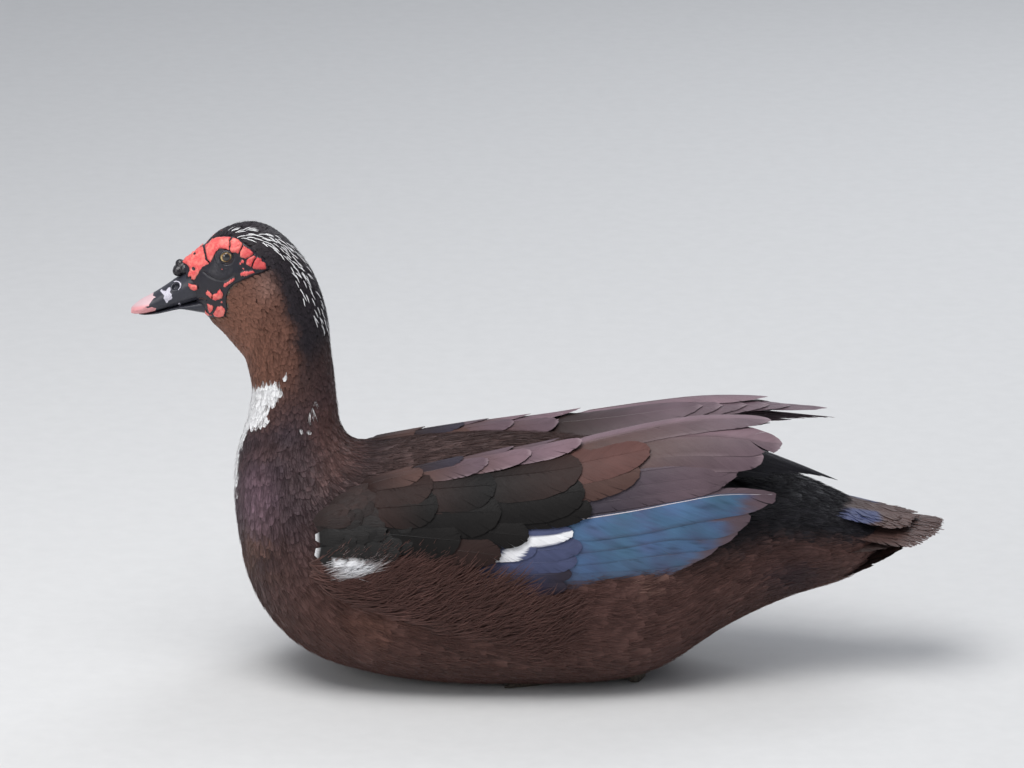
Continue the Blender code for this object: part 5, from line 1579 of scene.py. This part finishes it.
def faceRelief(points):
    # the bare skin's height over the head in mm: swollen lobes with a domed edge, small warts on them,
    # pits and folds, a hole at the eye, and a rim that dives under the feathers; with its red share
    across, up = sideView(points)
    # lower on the far side, behind the brow
    up = up + 3.0 * ease(up, 325, 333) * ease(points[..., 1], 0.004, 0.010)
    inside = insideBy(across, up, fromPicture(faceForm["outline"]))
    height = faceForm["under"] + (faceForm["level"] - faceForm["under"]) * ease(inside,
        -faceForm["edge"], 0.5)
    red, lobes = 0.0, 0.0
    for tall, corners in faceForm["lobes"].values():
        deep = insideBy(across, up, fromPicture(corners)) + 0.28 * softNoise(points, 0.0018, 27)
        edge = np.clip(deep / 1.7, 0, 1)
        lobes = np.maximum(lobes, tall * np.sqrt(1 - (1 - edge) ** 2))
        red = np.maximum(red, ease(deep, 0.0, 0.45))
    for x, y, size in faceForm["pinkSpots"]:
        away = np.hypot(across - (x - 539) * 0.8, up - (668 - y) * 0.8)
        lobes = np.maximum(lobes, 0.7 * np.sqrt(np.clip(1 - (away / size) ** 2, 0, 1)))
        red = np.maximum(red, 0.75 * (1 - ease(away, size * 0.7, size * 1.1)))
    chance = np.random.default_rng(12)
    spots = chance.uniform((-284, 286), (-216, 340), (faceForm["spots"], 2))
    sizes = chance.uniform(0.7, 1.5, len(spots))
    warts = 0.0
    for (x, y), size in zip(spots, sizes):
        away = np.hypot(across - x, up - y)
        warts = np.maximum(warts, 0.38 * size * np.sqrt(np.clip(1 - (away / size) ** 2, 0, 1)))
    height = height + lobes + warts * (0.25 + 0.75 * red)
    height = height + red * 0.16 * softNoise(points, 0.0022, 21) + (1 - red) * 0.07 * softNoise(points,
        0.0016, 22)
    dark = 0.0
    for x, y, size in faceForm["pits"]:
        away = np.hypot(across - (x - 539) * 0.8, up - (668 - y) * 0.8)
        hollow = 1.3 * np.exp(-((away / size / faceForm["pitSize"]) ** 2))
        height = height - hollow + 0.3 * np.exp(-(((away - size * 1.5) / 0.5) ** 2))
        dark = np.maximum(dark, 1 - ease(away, size * 0.6, size * 1.15))
    eyeX, eyeUp = (faceForm["eye"][0] - 539) * 0.8, (668 - faceForm["eye"][1]) * 0.8
    away = np.hypot(across - eyeX, up - eyeUp)
    way = np.arctan2(up - eyeUp, across - eyeX)
    ahead = ease(np.cos(way - math.radians(215)), 0.25, 0.8)
    for ring in faceForm["lidFolds"]:
        wave = ring * (1 + 0.05 * np.sin(3 * way))
        height = height + 0.42 * ahead * np.exp(-(((away - wave) / 0.38) ** 2)) * (1 - red)
    fold = lineDistance(across, up, fromPicture(faceForm["fold"]))
    below = np.interp(across, *fromPicture(faceForm["fold"]).T) - up
    height = height - 0.9 * np.exp(-((fold / 1.0) ** 2)) * (1 - red)
    height = height + 0.9 * np.exp(-((fold / 5.0) ** 2)) * ease(-below, -0.5, 1.5) * (1 - red) * (away > 5)
    mouth = lineDistance(across, up, fromPicture(faceForm["mouth"]))
    height = height - 1.6 * np.exp(-((mouth / 0.7) ** 2))
    height = np.where(away < faceForm["opening"][1],
        height - 6.0 * (1 - ease(away, *faceForm["opening"])), height)
    # the pits lose their red and show the dark skin: painted shade in the hollows
    red = red * (1 - dark) * ease(inside, -0.4, 0.3)
    rear = ease(across, -236, -226)
    return height * mm, red, rear


def faceMaterial():
    # coral-red warty swellings over smooth blue-black skin
    graph = Graph("bareFaceSkin")
    place = graph.place()
    red = graph.number("red")
    fine = graph.noise(place, 1300.0, 3.0)
    cloud = graph.noise(place, 260.0, 2.0)
    warts = graph.cells(place, 900.0, "SMOOTH_F1")
    bright = graph.mix(graph.ramp(cloud, 0.3, 0.7), (0.72, 0.088, 0.088), (0.80, 0.205, 0.170))
    bright = graph.mix(graph.number("rear") * 0.6, bright, (0.50, 0.030, 0.040))
    bright = graph.mix(graph.ramp(fine, 0.55, 0.8) * 0.35, bright, (0.88, 0.30, 0.28))
    dark = graph.mix(cloud, (0.007, 0.006, 0.010), (0.019, 0.018, 0.027))
    colour = graph.mix(graph.ramp(red + 0.2 * (fine - 0.5), 0.30, 0.62), dark, bright)
    rough = 0.34 + 0.22 * fine - 0.12 * (1.0 - red)
    height = warts * red + 0.5 * fine
    links = {"Base Color": colour, "Roughness": rough, "Normal": graph.bump(height, 0.45, 0.0005)}
    return graph.finish(links, {"Specular IOR Level": 0.5, "Subsurface Weight": 0.0})


def makeFace():
    # the bare skin as a sleeve round the head, finest where it shows
    s = np.linspace(faceForm["from"], faceForm["to"], faceForm["rows"])[:, None]
    even = np.arange(faceForm["around"]) * 2 * math.pi / faceForm["around"]
    turn = (even - 0.28 * np.sin(2 * even) * 0.5)[None, :]
    s, turn = np.broadcast_arrays(s, turn)
    height, red, rear = faceRelief(bodyPoint(s, turn))
    rings = bodyPoint(s, turn, height)
    uv = np.stack([turn / (2 * math.pi), (s - faceForm["from"]) / (faceForm["to"] - faceForm["from"])], -1)
    face = closedTube("faceSkin", rings, {"red": red, "rear": rear}, False, {"OFBake": uv})
    settle(face, faceMaterial(), ("face_skin_left", "face_skin_right"))


knobForm = {  # middle of each lobe and its radius in mm, from the middle of the knob
    "middle": (-284.2, 0.0, 332.8), "rows": 60, "around": 84,
    "lobes": ((-3.2, -2.3, -2.3, 4.2), (-3.0, 2.3, -2.0, 4.2), (-1.6, 0.0, 3.2, 3.6),
        (2.6, -2.6, -0.6, 4.4), (2.6, 2.6, -0.8, 4.4),
              (0.0, 0.0, 0.4, 4.9), (1.8, 0.6, 2.6, 3.4)),
}


def ball(rows, around):
    # directions from pole to pole, with the poles fore and aft
    polar = np.linspace(0.03, math.pi - 0.03, rows)[:, None]
    turn = (np.arange(around) * 2 * math.pi / around)[None, :]
    across = np.sin(polar)
    return np.stack([np.cos(polar) * np.ones_like(turn), across * np.cos(turn), across * np.sin(turn)], -1)


def makeKnob():
    # in each direction the knob reaches a soft maximum of its lobes' far sides
    way = ball(knobForm["rows"], knobForm["around"])
    reach = 0.0
    for x, y, z, radius in knobForm["lobes"]:
        middle = np.array([x, y, z])
        ahead = way @ middle
        inside = radius**2 - middle @ middle + ahead**2
        far = np.where(inside > 0, ahead + np.sqrt(np.maximum(inside, 0)), 0.5)
        reach = reach + np.exp(np.clip(far, 0, 20) * 2.6)
    reach = np.log(reach) / 2.6
    points = way * reach[..., None]
    points = points + way * (0.10 * softNoise(points, 1.6, 31))[..., None]
    rings = (points + np.array(knobForm["middle"])) * mm
    graph = Graph("knobSkin")
    fine = graph.noise(graph.place(), 1100.0, 3.0)
    colour = graph.mix(fine, (0.006, 0.005, 0.007), (0.018, 0.015, 0.020))
    links = {"Base Color": colour, "Roughness": 0.20 + 0.2 * fine, "Normal": graph.bump(fine, 0.3, 0.0003)}
    knob = closedTube("billKnob", rings, None, False)
    settle(knob, graph.finish(links, {"Specular IOR Level": 0.55}), ("bill_knob",))


eyeForm = {
    "middle": (-247.7, 17.6, 347.5), "radius": 7.3, "cornea": (2.3, 5.5), "pupil": 3.0, "iris": 4.75,
    "lid": {"middle": 44.0, "half": 7.5, "radius": 7.9, "thick": 0.8, "upper": 4.0},
}


def eyeMaterial():
    # rings round the pupil's middle, which is at the same x and z on both sides
    graph = Graph("eyeIris")
    place = graph.place()
    offset = graph.node("VectorMath", {"operation": "SUBTRACT"},
        {0: place, 1: tuple(v * mm for v in (eyeForm["middle"][0], 0, eyeForm["middle"][2]))})
    flat = graph.node("VectorMath", {"operation": "MULTIPLY"}, {0: offset, 1: (1000.0, 0.0, 1000.0)})
    reach = graph.node("VectorMath", {"operation": "LENGTH"}, {0: flat}, "Value")
    around = graph.node("VectorMath", {"operation": "NORMALIZE"}, {0: flat})
    fibres = graph.noise(around, 14.0, 3.0)
    grain = graph.noise(flat, 1.3, 3.0)
    stops = [(0.0, (0.003, 0.002, 0.003, 1)), (0.47, (0.003, 0.002, 0.003, 1)),
        (0.50, (0.14, 0.060, 0.020, 1)),
             (0.58, (0.42, 0.230, 0.080, 1)), (0.66, (0.92, 0.720, 0.380, 1)),
             (0.775, (0.84, 0.620, 0.300, 1)),
             (0.81, (0.10, 0.055, 0.025, 1)), (0.84, (0.010, 0.008, 0.010, 1))]
    ramp = graph.node("ValToRGB", {"stops": stops}, {"Fac": reach / 6.0 + 0.03 * (grain - 0.5)})
    colour = graph.scaled(ramp, 0.72 + 0.55 * fibres)
    links = {"Base Color": colour, "Roughness": 0.05 + 0.03 * grain}
    return graph.finish(links, {"Specular IOR Level": 0.6, "Coat Weight": 0.8, "Coat Roughness": 0.03})


def makeEye(word, side, material, skin):
    # a ball with a bulging cornea, and a ring of lid whose inner edge hangs over the ball
    middle = np.array(eyeForm["middle"]) * [1, side, 1]
    way = ball(72, 96)
    facing = np.array([0.0, side, 0.0])
    cosine = way @ facing
    forward, radius = eyeForm["cornea"]
    bulge = forward * cosine + np.sqrt(np.maximum(radius**2 - forward**2 * (1 - cosine**2), 0))
    reach = np.where(cosine > 0, np.maximum(eyeForm["radius"], bulge), eyeForm["radius"])
    eye = closedTube("eye" + word, (middle + way * reach[..., None]) * mm, None, False)
    settle(eye, material, ("eye_" + word.lower(),))
    lid = eyeForm["lid"]
    around = (np.arange(120) * 2 * math.pi / 120)[:, None]
    section = (np.arange(24) * 2 * math.pi / 24)[None, :]
    top = ease(np.sin(around), -0.1, 0.9)
    corner = np.exp(-((np.cos(around - math.radians(205))
        - 1) / 0.10) ** 2) + 0.7 * np.exp(-((np.cos(around - math.radians(5)) - 1) / 0.06) ** 2)
    spread = lid["middle"] - lid["upper"] * top + 3.0 * corner
    polar = np.radians(spread + lid["half"] * np.cos(section) * (1 + 0.2 * top))
    swell = lid["thick"] * np.sin(section) + 0.10 * np.sin(26 * around) * np.clip(np.sin(section), 0, 1)
    out = lid["radius"] + swell - 0.5 * np.cos(section)
    ring = np.stack([np.sin(polar) * np.cos(around), side * np.cos(polar),
        np.sin(polar) * np.sin(around)], -1) * out[..., None]
    points = (middle + ring) * mm
    grid = np.arange(120 * 24).reshape(120, 24)
    grid = np.concatenate([grid, grid[:1]])
    grid = np.concatenate([grid, grid[:, :1]], 1)
    faces = gridFaces(grid)
    faces = faces if side > 0 else faces[:, ::-1]
    made = fourSided("eyelid" + word, points.reshape(-1, 3), faces)
    settle(made, skin)


def lidMaterial():
    graph = Graph("eyelidSkin")
    fine = graph.noise(graph.place(), 1500.0, 3.0)
    colour = graph.mix(fine, (0.010, 0.010, 0.015), (0.035, 0.033, 0.045))
    links = {"Base Color": colour, "Roughness": 0.30 + 0.2 * fine, "Normal": graph.bump(fine, 0.4, 0.0003)}
    return graph.finish(links, {"Specular IOR Level": 0.5})


def legMaterial():
    # small scales over dark grey skin
    graph = Graph("legScales")
    place = graph.place()
    scales = graph.cells(place, 420.0, "DISTANCE_TO_EDGE")
    cloud = graph.noise(place, 90.0, 3.0)
    edge = graph.ramp(scales, 0.02, 0.12)
    skin = graph.mix(cloud, (0.050, 0.040, 0.030), (0.110, 0.085, 0.055))
    colour = graph.mix(edge, (0.020, 0.016, 0.013), skin)
    links = {"Base Color": colour, "Roughness": 0.62 - 0.15 * edge, "Normal": graph.bump(edge, 0.6, 0.0006)}
    return graph.finish(links)


def makeHead():
    makeFace()
    makeBill()
    makeKnob()
    iris, skin = eyeMaterial(), lidMaterial()
    for word, side in (("Left", -1), ("Right", 1)):
        makeEye(word, side, iris, skin)
    scales = legMaterial()
    for name in ("leg_left", "leg_right", "foot_left", "foot_right"):
        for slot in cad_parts[name].material_slots:
            slot.material = scales
    print("head, legs and feet done")


def main():
    makeSkin()
    makeBodyFeathers()
    makeStreaks()
    makeTufts()
    for word, side in (("left", -1), ("right", 1)):
        makeWing(word, side)
    makeTail()
    makeHead()


viewForm = {"target": (-0.0216, 0.0, 0.2363), "away": 5.0, "elevation": 16.0, "across": 0.8192}


def makeStudio():
    scene = bpy.context.scene
    scene.view_settings.view_transform = "Standard"
    camera = bpy.data.objects.new("camera", bpy.data.cameras.new("camera"))
    scene.collection.objects.link(camera)
    tilt = math.radians(viewForm["elevation"])
    target = np.array(viewForm["target"])
    camera.location = target + viewForm["away"] * np.array([0, -math.cos(tilt), math.sin(tilt)])
    camera.rotation_euler = (math.radians(90) - tilt, 0, 0)
    camera.data.sensor_width = 36
    camera.data.lens = 36 * viewForm["away"] / viewForm["across"]
    camera.data.clip_end = 50
    scene.camera = camera
    world = bpy.data.worlds.new("softSky")
    world.use_nodes = True
    world.node_tree.nodes["Background"].inputs["Color"].default_value = (0.86, 0.90, 1.0, 1)
    world.node_tree.nodes["Background"].inputs["Strength"].default_value = 0.42
    scene.world = world
    lights = {  # place, size, power, colour
        "above": ((-0.5, -0.7, 2.3), 1.7, 52, (1.0, 0.99, 0.99)),
        "front": ((-2.0, -2.0, 1.1), 1.4, 18, (1.0, 0.98, 0.96)),
        "behind": ((1.2, 2.0, 1.9), 1.4, 24, (0.92, 0.95, 1.0)),
    }
    for name, (place, size, power, colour) in lights.items():
        lamp = bpy.data.lights.new(name, "AREA")
        lamp.size = size
        lamp.energy = power
        lamp.color = colour
        holder = bpy.data.objects.new(name, lamp)
        holder.location = place
        aim = np.array([0, 0, 0.15]) - np.array(place)
        flat = math.hypot(aim[0], aim[1])
        holder.rotation_euler = (math.atan2(flat, -aim[2]), 0, math.atan2(aim[1], aim[0]) - math.pi / 2)
        scene.collection.objects.link(holder)
    side = 9.0
    corners = np.array([[-side, -side, 0], [side, -side, 0], [side, side, 0], [-side, side, 0]], float)
    floor = fourSided("studioFloor", corners, np.array([[0, 1, 2, 3]]))
    graph = Graph("paleFloor")
    grain = graph.noise(graph.place(), 60.0, 4.0)
    colour = graph.mix(grain, (0.60, 0.60, 0.59), (0.66, 0.66, 0.65))
    floor.data.materials.append(graph.finish({"Base Color": colour, "Roughness": 0.8 + 0.1 * grain}))


makeStudio()
main()
